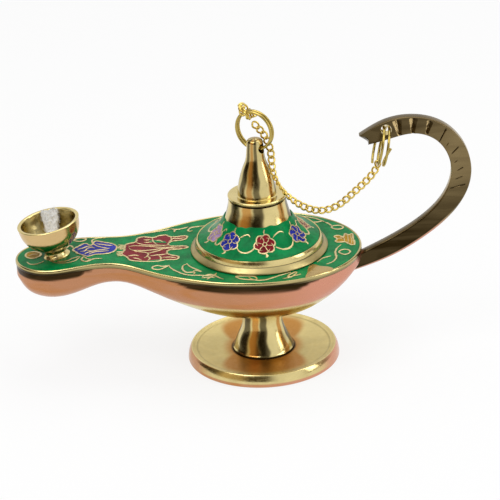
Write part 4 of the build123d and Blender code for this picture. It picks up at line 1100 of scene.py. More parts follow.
class LAMP_OT_deck(bpy.types.Operator):
    """Deck plate with its rounded rim, the enamel pocket and the land round the filler hole"""

    bl_idname = "lamp.deck"
    bl_label = "Deck plate"

    def execute(self, context):
        edge = plan_outline(0.0)
        rim = [
            (1.0, -1.8),
            (0.3, -1.76),
            (0.06, -1.5),
            (0.0, -1.1),
            (0.0, -0.6),
            (0.06, -0.36),
            (0.18, -0.12),
            (0.36, 0.0),
            (0.55, -0.02),
            (0.7, -0.12),
            (0.8, -0.3),
            (0.84, -0.45),
        ]
        land = [
            (LAND_RADIUS, -0.45),
            (22.08, -0.12),
            (21.9, 0.0),
            (17.3, 0.0),
            (17.05, -0.15),
            (FILLER_RADIUS, -1.0),
            (FILLER_RADIUS, -DECK_THICKNESS),
        ]
        loops = [on_deck(*plan_outline(inset).T, drop) for inset, drop in rim]
        loops += [on_deck(*circle_under(edge, radius).T, drop) for radius, drop in land]
        patina = np.zeros(np.shape(loops))
        # Painted dark reflection on the rim's outer wall, and the rest of the rim a little darker
        for row, (inset, drop) in enumerate(rim):
            if drop < -0.8 and inset < 0.5:
                patina[row, :, 1] = wall_shade(loops[row][:, 0])
            elif inset < 0.75:
                patina[row, :, 1] = 0.25
        skin = lofted(loops, ring=True, patina=patina)
        # A patch of bare brass in the enamel, kept inside the rim
        rim_foot = plan_outline(0.45)
        patch = []
        for point in BARE_PATCH:
            near = rim_foot[np.argmin(np.linalg.norm(rim_foot - point, axis=1))]
            patch.append(point if inside(rim_foot, *point) else tuple(near))
        fill(skin, patch, on_deck, 0.05, patina=(-0.35, 0.2, 0.0))
        settle(make_piece("deck_rim", skin, cast_brass()), "lamp", "brass_body", "deck_plate")
        return {"FINISHED"}


class LAMP_OT_deck_enamel(bpy.types.Operator):
    """Green field of the deck with its flowers, leaves and brass scroll lines"""

    bl_idname = "lamp.deck_enamel"
    bl_label = "Deck enamel"

    def execute(self, context):
        wide = sizes().line_width / MM
        tall = sizes().line_height / MM
        edge = plan_outline(0.78)
        land = circle_under(plan_outline(0.0), LAND_RADIUS)
        loops = [on_deck(*edge.T, -0.44)]
        for share in np.concatenate([[0.0, 0.02], np.linspace(0.06, 1, 22)]):
            at = edge + (land - edge) * share
            loops.append(on_deck(*at.T, -0.16 if share in (0.0, 1.0) else -0.08))
        loops.append(on_deck(*land.T, -0.44))
        piece = make_piece("deck_green", lofted(loops, ring=True), enamel("green"))
        settle(piece, "lamp", "enamel_green", "deck_enamel_green")
        fills = (
            ("deck_red_flower", [RED_FLOWER], "red"),
            ("deck_blue_flower", [BLUE_FLOWER], "blue"),
            ("deck_amber_leaves", AMBER_LEAVES, "amber"),
        )
        lines = Skin()
        for name, outlines, tint in fills:
            skin = Skin()
            for outline in outlines:
                fill(skin, outline, on_deck, 0.0)
                ridge(lines, outline, on_deck, wide, tall, closed=True, ragged=0.9)
            piece = make_piece(name, skin, enamel(tint))
            settle(piece, "lamp", f"enamel_{tint}", f"deck_enamel_{tint}")
        for outline in BRASS_LEAVES:
            ridge(lines, outline, on_deck, wide, tall, closed=True)
        for line in BRASS_LINES:
            ridge(lines, line, on_deck, 0.95 * wide, tall, ragged=0.6)
        for share, routes in ((0.8, [*RED_VEINS, *BLUE_VEINS]), (0.5, AMBER_VEINS), (0.75, RED_COMB)):
            for line in routes:
                ridge(lines, line, on_deck, share * wide, tall)
        settle(make_piece("deck_brass_lines", lines, line_brass()), "lamp", "brass_body")
        return {"FINISHED"}


def cup_place():
    """Matrix of the burner cup: its base on the deck and its axis leaning to the spout's tip."""
    place = np.eye(4)
    place[:3, 0] = (math.cos(CUP_LEAN), 0, math.sin(CUP_LEAN))
    place[:3, 1] = (0, 1, 0)
    place[:3, 2] = (-math.sin(CUP_LEAN), 0, math.cos(CUP_LEAN))
    place[:3, 3] = CUP_BASE
    return place


class LAMP_OT_cup(bpy.types.Operator):
    """Burner cup on its short waisted stem"""

    bl_idname = "lamp.cup"
    bl_label = "Burner cup"

    def execute(self, context):
        profile = profile_of(
            [(1.5, CUP_FLOOR), (1.5, -1.2)],
            [(1.5, -1.2), (4.5, -1.2)],
            [(4.5, -1.2), (4.5, 0.2)],
            [
                (4.5, 0.2), (4.1, 0.6), (3.5, 1.8), (4.6, 3.0), (6.24, 4.16), (8.3, 6.1), (9.62, 8.5),
                (10.3, 12.1),
            ],
            [(10.3, 12.1), (10.35, 12.5), (10.15, 12.68), (9.6, 12.68), (9.2, 12.5), (9.05, 12.0)],
            [(9.05, 12.0), (8.4, 9.0), (6.2, 6.4), (3.6, 5.0), (1.5, CUP_FLOOR)],
        )
        radius, height = profile.T
        loops = turned(profile, 144, cup_place())
        outer = np.arange(len(profile)) < np.argmax(radius)
        # Painted warm reflection in a band round the outside, painted shade under the bulge, and painted
        # dark reflections in streaks inside
        within = (~outer & (height > 2) & (height < 11))[:, None]
        under = (outer * step(height, 8.6, 5.6) * step(height, 1.5, 2.6))[:, None]
        patina = np.zeros(np.shape(loops))
        patina[:, :, 0] = 0.4 * (outer * step(height, 6.0, 8.0))[:, None]
        patina[:, :, 1] = 0.5 * np.maximum(under, within * streaks(loops, CUP_BASE[0]))
        piece = make_piece("burner_cup", lofted(loops, ring=True, patina=patina), cup_brass())
        settle(piece, "lamp", "brass_foot", "spout_cup")
        return {"FINISHED"}


def cotton():
    """Loose cotton with shaded hollows."""
    material, tree, shader, place = begin_material("loose cotton")
    fluff = noise_of(tree, place, 1400, Detail=5)
    pale = tuple(colours().cotton)
    feeds = {
        "Base Color": colour_mix(tree, fluff, tuple(0.78 * c for c in pale), pale),
        "Roughness": spread_to(tree, fluff, 0.8, 1.0),
        "Sheen Weight": 0.4,
    }
    feed(tree, shader, feeds)
    bump_on(tree, shader, fluff, 0.7, 0.2)
    return material


def tree_of(name, inputs):
    """A new geometry node tree that takes and gives a mesh, with named sizes."""
    sockets = [("Geometry", "NodeSocketGeometry", None), *inputs]
    return group_of(name, sockets, [("Geometry", "NodeSocketGeometry")], "GeometryNodeTree")


def wire_along(tree, curve, sides, radius):
    """A mesh of round wire along a curve."""
    section = put(tree, "GeometryNodeCurvePrimitiveCircle", {"Resolution": sides, "Radius": radius})
    feeds = {"Curve": curve, "Profile Curve": section.outputs["Curve"]}
    return put(tree, "GeometryNodeCurveToMesh", feeds).outputs["Mesh"]


def set_out(tree, points, instance, **feeds):
    """Sets a mesh at every point, turned and sized by more feeds, and makes the copies real."""
    feeds = {"Points": points, "Instance": instance, **feeds}
    copies = put(tree, "GeometryNodeInstanceOnPoints", feeds).outputs["Instances"]
    return put(tree, "GeometryNodeRealizeInstances", {"Geometry": copies}).outputs["Geometry"]


def end_tree(tree, made, geometry, material):
    """Ends a geometry node tree with its material."""
    finish = put(tree, "GeometryNodeSetMaterial", {"Geometry": geometry, "Material": material})
    feed(tree, made, {"Geometry": finish.outputs["Geometry"]})
    return tree


def fibre_tree(material):
    """Geometry nodes that set loose curved fibres over a tuft, and keep the tuft."""
    sizes_given = [
        ("Length", "NodeSocketFloat", 0.001),
        ("Thickness", "NodeSocketFloat", 0.00005),
        ("Density", "NodeSocketFloat", 4.0e6),
        ("Seed", "NodeSocketInt", 1),
    ]
    tree, given, made = tree_of("tuft fibres", sizes_given)
    feeds = {"Mesh": given["Geometry"], "Density": given["Density"], "Seed": given["Seed"]}
    scatter = put(tree, "GeometryNodeDistributePointsOnFaces", feeds).outputs
    feeds = {"Resolution": 5, "Start": (0, 0, 0), "Middle": (0.1, 0.1, 0.35), "End": (0.7, 0.2, 0.4)}
    bow = put(tree, "GeometryNodeCurveQuadraticBezier", feeds).outputs["Curve"]
    thin = math_of(tree, "DIVIDE", given["Thickness"], given["Length"])
    feeds = {"Min": (-0.5, -0.5, -3.1), "Max": (0.5, 0.5, 3.1), "Seed": given["Seed"]}
    spin = put(tree, "FunctionNodeRandomValue", feeds, data_type="FLOAT_VECTOR").outputs["Value"]
    feeds = {"Rotation": scatter["Rotation"], "Rotate By": spin}
    turn = put(tree, "FunctionNodeRotateRotation", feeds, rotation_space="LOCAL").outputs["Rotation"]
    fibre = wire_along(tree, bow, 4, thin)
    fibres = set_out(tree, scatter["Points"], fibre, Rotation=turn, Scale=given["Length"])
    join = put(tree, "GeometryNodeJoinGeometry", {"Geometry": given["Geometry"]})
    feed(tree, join, {"Geometry": fibres})
    return end_tree(tree, made, join.outputs["Geometry"], material)


def run_tree(piece, tree, values):
    """Runs a geometry node tree on a piece with values by name, and keeps the mesh it gives."""
    work = piece.modifiers.new(tree.name, "NODES")
    work.node_group = tree
    for item in tree.interface.items_tree:
        if item.in_out == "INPUT" and item.name in values:
            work[item.identifier] = values[item.name]
    return baked(piece, piece.name)


class LAMP_OT_wick(bpy.types.Operator):
    """Cotton wick: a cord down the cup's stem that opens into a loose tuft"""

    bl_idname = "lamp.wick"
    bl_label = "Wick"

    def execute(self, context):
        place = cup_place()
        steps = [
            (0.0, -7.0, 1.1, 1.1),
            (0.0, 0.0, 1.1, 1.1),
            (0.1, CUP_FLOOR + 0.3, 1.15, 1.1),
            (2.4, CUP_FLOOR + 1.9, 1.6, 0.85),
            (4.4, CUP_FLOOR + 3.4, 2.0, 0.8),
            (6.0, CUP_FLOOR + 5.2, 2.4, 0.75),
            (7.0, CUP_FLOOR + 7.2, 2.7, 0.7),
            (7.5, CUP_HEIGHT + 0.35, 2.8, 0.4),
        ]
        line = cubic_line(steps, 110)
        angle = np.linspace(0, 2 * math.pi, 48, endpoint=False)
        loops = []
        for (away, up, wide, thick), (go_y, go_z) in zip(line, headings(line[:, :2])):
            loose = float(step(up, CUP_FLOOR, CUP_FLOOR + 3))
            frayed = float(step(up, CUP_HEIGHT - 2, CUP_HEIGHT))
            loop = []
            for turn in angle:
                lump = noise.noise(Vector((1.6 * math.cos(turn), 1.6 * math.sin(turn), up * 0.9)))
                fold = noise.noise(Vector((4.5 * math.cos(turn), 4.5 * math.sin(turn), up * 1.7)))
                grow = 1 + 0.12 * lump + loose * (0.14 * lump + 0.3 * fold)
                x = wide * math.cos(turn) * (1 + 0.6 * (grow - 1))
                off = thick * math.sin(turn) * (1 + 2.2 * (grow - 1))
                fray = 1.3 * noise.noise(Vector((2.4 * x, 0.8, 4.0))) * frayed
                local = (x, away - go_z * off, up + go_y * off + fray)
                loop.append(place[:3, :3] @ local + place[:3, 3])
            loops.append(loop)
        fluff = cotton()
        piece = make_piece("wick_tuft", lofted(loops, caps=True), fluff)
        values = {
            "Length": sizes().fibre_length,
            "Thickness": FIBRE_THICKNESS * MM,
            "Seed": sizes().fibre_seed,
        }
        run_tree(piece, fibre_tree(fluff), values)
        settle(piece, "lamp", "wick_cotton", "wick")
        return {"FINISHED"}


class LAMP_OT_handle(bpy.types.Operator):
    """Flat cast hook with wedge notches across its upper arc and a hole at its tip"""

    bl_idname = "lamp.handle"
    bl_label = "Handle"

    def execute(self, context):
        count = 720
        outer = cubic_line(HANDLE_OUTER, count)
        inner = cubic_line(HANDLE_INNER, count)
        run = run_along(outer)
        along = run / run[-1]
        cuts = []
        for x, z, *cut in HANDLE_CUTS:
            at = run[np.argmin(np.linalg.norm(outer - (x, z), axis=1))]
            cuts.append((at, *cut))
        # Painted dark reflection along the handle, painted highlight on its edges, and the reach of the
        # floor's painted pink reflection
        tone = np.interp(along, *HANDLE_TONE)
        polish = np.interp(along, *HANDLE_EDGE_HIGHLIGHT)
        reflected_pink = step(along, 0.42, 0.3)
        # Half-thickness by share across the hook, with a broad bevel on the lower arm's outer edge
        upper = [(0.0, 1.25), (0.02, 1.5), (0.06, 1.67), *[(s, 1.7) for s in np.linspace(0.12, 0.92, 17)]]
        upper += [(0.965, 1.68), (0.99, 1.52), (1.0, 1.25)]
        bevel = [(0.76, 1.7), (0.8, 1.69), (0.83, 1.62), (0.88, 1.42), (0.95, 1.05), (1.0, 0.6)]
        lower = [*upper[: -len(bevel)], *bevel]
        swing = step(along, 0.5, 0.34)
        edges = np.array(upper) + (np.array(lower) - np.array(upper)) * swing[:, None, None]
        tip = outer[-1] - outer[-2]
        tip /= np.linalg.norm(tip)
        loops = []
        patina = np.zeros((count, 2 * len(upper), 3))
        for i in range(count):
            face = []
            for j, (share, half) in enumerate(edges[i]):
                at = inner[i] + (outer[i] - inner[i]) * share
                at = at - tip * TIP_HOLLOW * math.sin(math.pi * share) * step(i, count - 30, count)
                deep = 0.0
                lit_facet = 0.0
                rough = 1 + 0.4 * noise.noise(Vector((3 * at[0], 3 * at[1], 1.0)))
                for middle, depth, wide, low, high in cuts:
                    off = run[i] - middle
                    cut = depth * max(0.0, 1 - abs(off) / (wide * (0.4 + 0.6 * share)))
                    cut *= step(share, low - 0.1, low + 0.06) * step(share, high + 0.04, high - 0.08)
                    if cut > deep:
                        deep = cut
                        lit_facet = step(depth, 0.3, 0.6) * (off > 0)
                if lit_facet > 0:
                    deep *= rough
                face.append((BOWL_END + at[0], half - deep, DECK_TOP + at[1]))
                # Painted highlight on the edges off the flat faces, and the floor's painted pink reflection
                # on the lower arm's outer bevel
                off_edge = step(half, 1.3, 1.66)
                pink = reflected_pink[i] * (share > 0.85) * (half < 1.5)
                shade = tone[i] * (1 - polish[i] * (1 - off_edge))
                # Painted shade in the cuts, with the far facet of each deep cut a painted highlight
                if deep > 0.05:
                    shade = 0.96 - 0.9 * lit_facet * min(rough, 1.0)
                # A faint pink tint over the whole handle
                patina[i, j] = (max(pink, 0.22), shade * (1 - 0.9 * pink), 0.2)
            patina[i, len(upper) :] = patina[i, : len(upper)][::-1]
            back = [(x, -y, z) for x, y, z in face[::-1]]
            loops.append(face + back)
        piece = make_piece("handle_hook", lofted(loops, caps=True, patina=patina), cast_brass(), 30)
        drill(piece, HANDLE_HOLE, (0, 1, 0), WIRE_HOLE, 8.0)
        settle(piece, "lamp", "brass_body", "handle")
        return {"FINISHED"}


class LAMP_OT_lid(bpy.types.Operator):
    """Lid: flange, sunk enamel band, bell and the skirt that drops into the filler hole"""

    bl_idname = "lamp.lid"
    bl_label = "Lid"

    def execute(self, context):
        # Heights above the deck
        profile = profile_of(
            [(15.2, -4.0), (16.6, -4.0)],
            [(16.6, -4.0), (16.6, 0.02)],
            [(16.6, 0.02), (22.3, 0.02)],
            [(22.3, 0.02), (22.62, 0.15), (22.68, 0.4), (22.5, 0.75), (21.4, 1.9)],
            [(21.4, 1.9), (21.2, 2.05)],
            [(21.2, 2.05), (21.08, 2.15)],
            [(21.08, 2.15), (20.95, 2.8), (20.7, 3.6), (20.45, 4.02)],
            [(20.45, 4.02), (20.2, 4.0)],
            [(20.2, 4.0), (19.95, 3.7)],
            [(19.95, 3.7), (17.8, 4.45), (15.8, 5.65), (14.0, 7.2), (12.5, 9.05)],
            [(12.5, 9.05), (11.5, 10.6), (10.75, 12.1), (10.3, 13.4), (9.85, 15.2)],
            [(9.85, 15.2), (9.6, 16.6), (9.5, 17.8)],
            [(9.5, 17.8), (9.1, 18.0), (8.9, 18.3)],
            [(8.9, 18.3), (2.6, 18.3)],
            [(2.6, 18.3), (2.6, 16.8)],
            [(2.6, 16.8), (7.9, 16.8)],
            [(7.9, 16.8), (8.6, 13.5), (10.9, 7.9), (15.2, 4.0)],
            [(15.2, 4.0), (15.2, -4.0)],
        )
        radius, height = profile.T
        loops = turned(profile + (0, DECK_TOP), 208)
        outside = (height > 0) & (radius > 9)
        flange = (outside & (radius > 21.15))[:, None]
        bell = (outside & (height > 10) & (height < 17.9))[:, None]
        collar = (height > 17.85) & (radius < 9.3)
        groove = (outside & ((np.abs(height - 2.1) < 0.08) | collar))[:, None]
        # Painted shade in the grooves and a painted dark reflection on the flange; painted dark and warm
        # reflections in streaks up the bell
        dark = np.maximum(0.8 * groove, 0.42 * flange)
        patina = np.zeros(np.shape(loops))
        patina[:, :, 0] = -0.75 * bell * streaks(loops, marks=WARM_REFLECTION_STREAKS)
        patina[:, :, 1] = np.maximum(dark, 0.85 * bell * streaks(loops))
        patina[:, :, 2] = 0.6 * flange
        piece = make_piece("lid_bell", lofted(loops, ring=True, patina=patina), turned_brass())
        settle(piece, "lid", "brass_foot", "lid_dome")
        return {"FINISHED"}


def scalloped(u, v, radius, lobes, turn):
    """Outline of a round flower with scalloped petals."""
    angle = np.linspace(0, 2 * math.pi, 6 * lobes, endpoint=False)
    reach = radius * (0.8 + 0.2 * np.abs(np.cos(lobes / 2 * (angle + turn))))
    return list(zip(u + reach * np.cos(angle), v + reach * np.sin(angle)))


class LAMP_OT_lid_enamel(bpy.types.Operator):
    """Green band of the lid with its ring of flowers joined by brass stems"""

    bl_idname = "lamp.lid_enamel"
    bl_label = "Lid enamel"

    def execute(self, context):
        wide = sizes().line_width / MM * 0.85
        tall = sizes().line_height / MM
        around = np.linspace(0, 2 * math.pi * BAND_RADIUS, 320, endpoint=False)
        turns = around / BAND_RADIUS
        ragged = [noise.noise(Vector((4 * math.cos(a), 4 * math.sin(a), 2.0))) for a in turns]
        upper = 12.3 + 1.1 * np.array(ragged)
        # Share of the way up the band and lift off it, up the face and down the back
        rows = [(0.0, -0.02), (0.03, 0.02)]
        rows += [(share, 0.02) for share in np.linspace(0.1, 0.97, 14)]
        rows += [(1.0, -0.04), *[(share, -0.28) for share in np.linspace(1, 0, 12)]]
        loops = [on_band(around, 0.1 + (upper - 0.1) * share, lift) for share, lift in rows]
        piece = make_piece("lid_green", lofted(loops, ring=True), enamel("green"))
        settle(piece, "lid", "enamel_green", "lid_enamel_green")
        lines = Skin()
        for tint in ("red", "blue", "violet"):
            skin = Skin()
            for bearing in [angle for angle, shade in LID_FLOWERS if shade == tint]:
                at = math.radians(bearing) * BAND_RADIUS
                outline = scalloped(at, FLOWER_UP, 3.5, 6, math.radians(3 * bearing))
                fill(skin, outline, on_band, 0.1)
                ridge(lines, outline, on_band, 0.95 * wide, tall + 0.08, closed=True, ragged=0.9)
                round_heart = np.linspace(0, 5.2, 6)
                heart = np.column_stack([np.cos(round_heart), np.sin(round_heart)]) * 0.7 + (at, FLOWER_UP)
                ridge(lines, heart, on_band, 0.75 * wide, tall + 0.12, closed=True)
                for petal in np.linspace(0, 2 * math.pi, 6, endpoint=False) + math.radians(bearing):
                    reach = np.array([0.8, 1.7, 2.6, 2.2])
                    bent = petal + np.array([0.0, 0.1, 0.2, 0.55])
                    vein = np.column_stack([at + reach * np.cos(bent), FLOWER_UP + reach * np.sin(bent)])
                    ridge(lines, vein, on_band, 0.5 * wide, tall + 0.1)
                below = [(at, 3.3), (at + 0.2, 2.5), (at - 0.2, 1.6)]
                ridge(lines, below, on_band, wide, tall)
                above = [(at + 0.3, 10), (at + 0.2, 10.8), (at + 0.5, 11.6)]
                ridge(lines, above, on_band, 0.9 * wide, tall)
            piece = make_piece(f"lid_{tint}_flowers", skin, enamel(tint))
            settle(piece, "lid", f"enamel_{tint}", f"lid_enamel_{tint}")
        # Stems from each flower to the next, as shares of the gap and heights up the band
        low = [(0, 5.2), (0.25, 3.9), (0.6, 3.7), (0.85, 4.6), (1, 6)]
        high = [(0, 8.6), (0.3, 9.7), (0.55, 9.9), (0.7, 9.3)]
        for number, (bearing, _) in enumerate(LID_FLOWERS):
            after = LID_FLOWERS[(number + 1) % len(LID_FLOWERS)][0]
            at = math.radians(bearing) * BAND_RADIUS + FLOWER_REACH
            gap = math.radians((after - bearing) % 360) * BAND_RADIUS - 2 * FLOWER_REACH
            for stem, share in ((low, 1.0), (high, 0.8)):
                ridge(lines, [(at + s * gap, up) for s, up in stem], on_band, share * wide, tall)
        settle(make_piece("lid_brass_lines", lines, line_brass()), "lid", "brass_foot")
        return {"FINISHED"}


class LAMP_OT_finial(bpy.types.Operator):
    """Finial with its grooved collar, round tip and cross-hole"""

    bl_idname = "lamp.finial"
    bl_label = "Finial"

    def execute(self, context):
        profile = profile_of(
            [(0.0, 52.9), (2.45, 52.9)],
            [(2.45, 52.9), (2.45, 57.82)],
            [(2.45, 57.82), (9.3, 57.82)],
            [(9.3, 57.82), (9.3, 58.1)],
            [(9.3, 58.1), (9.6, 58.16), (9.7, 58.4), (9.62, 58.7), (9.35, 58.88)],
            [(9.35, 58.88), (8.2, 58.86), (6.75, 58.72)],
            [(6.75, 58.72), (6.4, 58.9)],
            [(6.4, 58.9), (6.15, 61.4), (5.22, 65.6), (4.2, 68.6), (3.45, 70.5), (2.95, 73.4), (2.7, 77.2)],
            [(2.7, 77.2), (2.4, 77.75), (1.5, 78.2), (0.6, 78.36), (0.0, 78.38)],
        )
        height = profile[:, 1]
        loops = turned(profile, 144)
        cone = (height > 59.2)[:, None]
        groove = 0.8 * (np.abs(height - 57.96) < 0.15)[:, None]
        patina = np.zeros(np.shape(loops))
        # Painted warm and dark reflections in streaks up the cone over a slightly darker tone, and painted
        # shade in the groove
        patina[:, :, 0] = -0.7 * cone * streaks(loops, marks=WARM_REFLECTION_STREAKS)
        patina[:, :, 1] = np.maximum(groove, cone * (0.1 + 0.7 * streaks(loops)))
        piece = make_piece("finial", lofted(loops, patina=patina), turned_brass())
        drill(piece, (0, 0, CROSS_Z), CROSS_AXIS, WIRE_HOLE, 14.0)
        settle(piece, "lid", "brass_foot", "lid_finial")
        return {"FINISHED"}


def lid_ring_points(turns):
    """Points of the lid ring's wire at turns in degrees from its start."""
    toward = -BEHIND
    turns = np.asarray(turns, float)
    centre = np.array([0.0, 0.0, CROSS_Z + RING_RADIUS - RING_SAG]) - toward * LID_RING_BACK
    angle = np.radians(LID_RING_START + turns)
    reach = np.outer(np.cos(angle), CROSS_AXIS) + np.outer(np.sin(angle), (0.0, 0.0, 1.0))
    return centre + RING_RADIUS * reach + np.outer(turns / 360 * LID_RING_PITCH, toward)


def handle_ring_points():
    """Points of the handle ring's wire: two turns and an end that is sprung open."""
    origin = HANDLE_HOLE + HANG * (RING_RADIUS - RING_SAG) - HANDLE_RING_AXIS * HANDLE_RING_PITCH
    side = np.cross(HANDLE_RING_AXIS, HANG)
    turns = np.linspace(0, 720 + SPRUNG_ARC, 260)
    angle = np.radians(turns)
    sprung = np.clip((turns - 720) / SPRUNG_ARC, 0, 1) ** 1.5
    rise = turns / 360 * HANDLE_RING_PITCH + SPRUNG_GAP * sprung
    reach = np.outer(np.cos(angle), HANG) + np.outer(np.sin(angle), side)
    return origin + RING_RADIUS * reach + np.outer(rise, HANDLE_RING_AXIS)


class LAMP_OT_rings(bpy.types.Operator):
    """Split rings of wound wire in the finial and in the handle"""

    bl_idname = "lamp.rings"
    bl_label = "Split rings"

    def execute(self, context):
        radius = sizes().ring_wire / MM / 2
        routes = {
            "lid_ring": lid_ring_points(np.linspace(0, 720, 240)),
            "handle_ring": handle_ring_points(),
        }
        for body, route in routes.items():
            skin = lofted(tube(route, radius, 16), caps=True, patina=(0.0, 0.35, 0.0))
            settle(make_piece(f"{body}_wire", skin, wire_brass()), body, "brass_wire", body)
        return {"FINISHED"}


def chain_tree(material):
    """Geometry nodes that set a twisted curb link at every point, turned by two attributes."""
    sizes_given = [
        ("Half Length", "NodeSocketFloat", 0.0014),
        ("Half Width", "NodeSocketFloat", 0.001),
        ("Wire", "NodeSocketFloat", 0.0005),
        ("Twist", "NodeSocketFloat", 0.785),
    ]
    tree, given, made = tree_of("curb chain", sizes_given)
    oval = put(tree, "GeometryNodeCurvePrimitiveCircle", {"Resolution": 30, "Radius": 1.0})
    parts = parts_of(tree, put(tree, "GeometryNodeInputPosition").outputs["Position"])
    twist = math_of(tree, "MULTIPLY", given["Twist"], parts["X"])
    along = math_of(tree, "MULTIPLY", given["Half Length"], parts["X"])
    across = math_of(tree, "MULTIPLY", given["Half Width"], parts["Y"])
    flat = math_of(tree, "MULTIPLY", across, math_of(tree, "COSINE", twist))
    raised = math_of(tree, "MULTIPLY", across, math_of(tree, "SINE", twist))
    feeds = {"Geometry": oval.outputs["Curve"], "Position": vector_of(tree, X=along, Y=flat, Z=raised)}
    bend = put(tree, "GeometryNodeSetPosition", feeds).outputs["Geometry"]
    body = wire_along(tree, bend, 9, math_of(tree, "MULTIPLY", given["Wire"], 0.5))
    axes = {}
    for axis, label in (("Primary Axis", "facing"), ("Secondary Axis", "onward")):
        marked = put(tree, "GeometryNodeInputNamedAttribute", {"Name": label}, data_type="FLOAT_VECTOR")
        axes[axis] = marked.outputs["Attribute"]
    turn = put(tree, "FunctionNodeAxesToRotation", axes, primary_axis="Z", secondary_axis="X")
    links = set_out(tree, given["Geometry"], body, Rotation=turn.outputs["Rotation"])
    smooth = put(tree, "GeometryNodeSetShadeSmooth", {"Geometry": links}).outputs["Geometry"]
    return end_tree(tree, made, smooth, material)


def beside_finial(across, behind, height):
    """Point along the finial's cross-hole, behind the ring's plane, at a height above it."""
    return CROSS_AXIS * across + BEHIND * behind + (0.0, 0.0, CROSS_Z + height)


def chain_links():
    """Place, onward direction and facing of each link from the knot to the handle's ring."""
    route = [
        beside_finial(-0.6, 0.2, 8.7),
        beside_finial(0.6, 0.7, 7.0),
        beside_finial(2.0, 1.5, 5.0),
        beside_finial(3.6, 1.9, 2.0),
        beside_finial(4.6, 1.9, -1.0),
        (5.4, -2.4, CROSS_Z - 7.1),
        (8.2, -3.6, CROSS_Z - 13.8),
        (13.9, -3.9, CROSS_Z - 19.5),
        (20.5, -3.2, CROSS_Z - 22.2),
        (26.3, -2.4, CROSS_Z - 21.0),
        (31.4, -1.6, CROSS_Z - 17.2),
        RING_FOOT + HANG * 5.6 + (-2.2, -0.6, 0),
        RING_FOOT + HANG * 2.8 + (-0.5, -0.15, 0),
        RING_FOOT + HANG * 0.61,
        RING_FOOT - HANG * 0.49,
    ]
    line = cubic_line(route, 2400)
    run = run_along(line)
    count = int(run[-1] / LINK_PITCH)
    links = []
    for number in range(count):
        middle = run[-1] - LINK_PITCH * (count - number - 0.5)
        i = min(int(np.searchsorted(run, middle)), len(line) - 2)
        onward = Vector(line[i + 1] - line[i - 1]).normalized()
        turned_share = min(max((middle / run[-1] - 0.18) / 0.42, 0), 1)
        hooked = max(0, 1 - (count - 1 - number) / 6)
        square = Vector((0, -1, 0)) - onward * onward.dot(Vector((0, -1, 0)))
        turn = Matrix.Rotation(math.radians(180 * turned_share - 45 * hooked), 3, onward)
        links.append((line[i], onward, turn @ square.normalized()))
    return links


def knot_links():
    """Links of the knot, wound round the lid ring's wires."""
    turn = math.radians(118)
    out = CROSS_AXIS * math.cos(turn) + np.array([0.0, 0.0, math.sin(turn)])
    side = -BEHIND
    along = np.cross(out, side)
    centre = lid_ring_points([10, 370]).mean(axis=0)
    links = []
    for number in range(KNOT_LINKS):
        wrap = math.radians(-60 + 44 * number)
        roll = math.radians(90 + 30 * (-1) ** number)
        outward = out * math.cos(wrap) + side * math.sin(wrap)
        onward = side * math.cos(wrap) - out * math.sin(wrap)
        place = centre + outward * KNOT_REACH + along * 0.5 * (number - KNOT_LINKS // 2)
        links.append((place, Vector(onward), Vector(outward * math.cos(roll) + along * math.sin(roll))))
    return links


class LAMP_OT_chain(bpy.types.Operator):
    """Fine curb chain from the lid's ring to the handle's ring"""

    bl_idname = "lamp.chain"
    bl_label = "Chain"

    def execute(self, context):
        links = chain_links()
        tree = chain_tree(wire_brass())
        runs = {
            "chain_knot": knot_links(),
            "chain_drop": links[:5],
            "chain_hanging": links[5:-4],
            "chain_end": links[-4:],
        }
        values = {
            "Half Length": sizes().link_half_length,
            "Half Width": sizes().link_half_width,
            "Wire": sizes().link_wire,
            "Twist": sizes().link_twist,
        }
        made = {}
        for node, places in runs.items():
            at, onward, facing = zip(*places)
            mesh = bpy.data.meshes.new(f"{node}_links")
            mesh.from_pydata((np.array(at) * MM).tolist(), [], [])
            mark_points(mesh, "onward", onward)
            mark_points(mesh, "facing", facing)
            made[node] = run_tree(add_object(f"{node}_links", mesh), tree, values)
        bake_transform(made["chain_hanging"])
        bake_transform(made["chain_drop"])
        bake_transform(made["chain_end"])
        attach(made["chain_knot"], "lid_ring")
        for node, piece in made.items():
            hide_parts(node)
        return {"FINISHED"}


class LAMP_OT_fixings(bpy.types.Operator):
    """Finish of the screw and washer in the foot and of the nut in the lid"""

    bl_idname = "lamp.fixings"
    bl_label = "Fixings"

    def execute(self, context):
        steel = metal("screw steel", tuple(colours().steel), 0.28)
        for node, finish in (("foot_screw", steel), ("foot_washer", steel), ("lid_nut", turned_brass())):
            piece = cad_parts[node]
            piece.data.materials.clear()
            piece.data.materials.append(finish)
        return {"FINISHED"}


def clear_rays(tree, rays):
    """1 for rays from the camera, from polish and through glass, and 0 for the rest."""
    sharp = math_of(tree, "MAXIMUM", rays["Is Camera Ray"], rays["Is Glossy Ray"])
    return math_of(tree, "MAXIMUM", sharp, rays["Is Transmission Ray"])


def floor_finish():
    """Pale floor that reads white to the camera and keeps the lamp's shadow."""
    material, tree, shader, place = begin_material("studio floor")
    pale = tuple(colours().floor)
    soft = tuple(0.98 * c for c in pale)
    base = colour_mix(tree, noise_of(tree, place, 40), soft, pale)
    feed(tree, shader, {"Base Color": base, "Roughness": 0.9, "Specular IOR Level": 0.1})
    rays = put(tree, "ShaderNodeLightPath").outputs
    seen = math_of(tree, "MULTIPLY", clear_rays(tree, rays), 0.8)
    glow = put(tree, "ShaderNodeEmission").outputs["Emission"]
    result = next(node for node in tree.nodes if node.type == "OUTPUT_MATERIAL")
    feed(tree, result, {"Surface": shader_mix(tree, seen, shader.outputs["BSDF"], glow)})
    return material


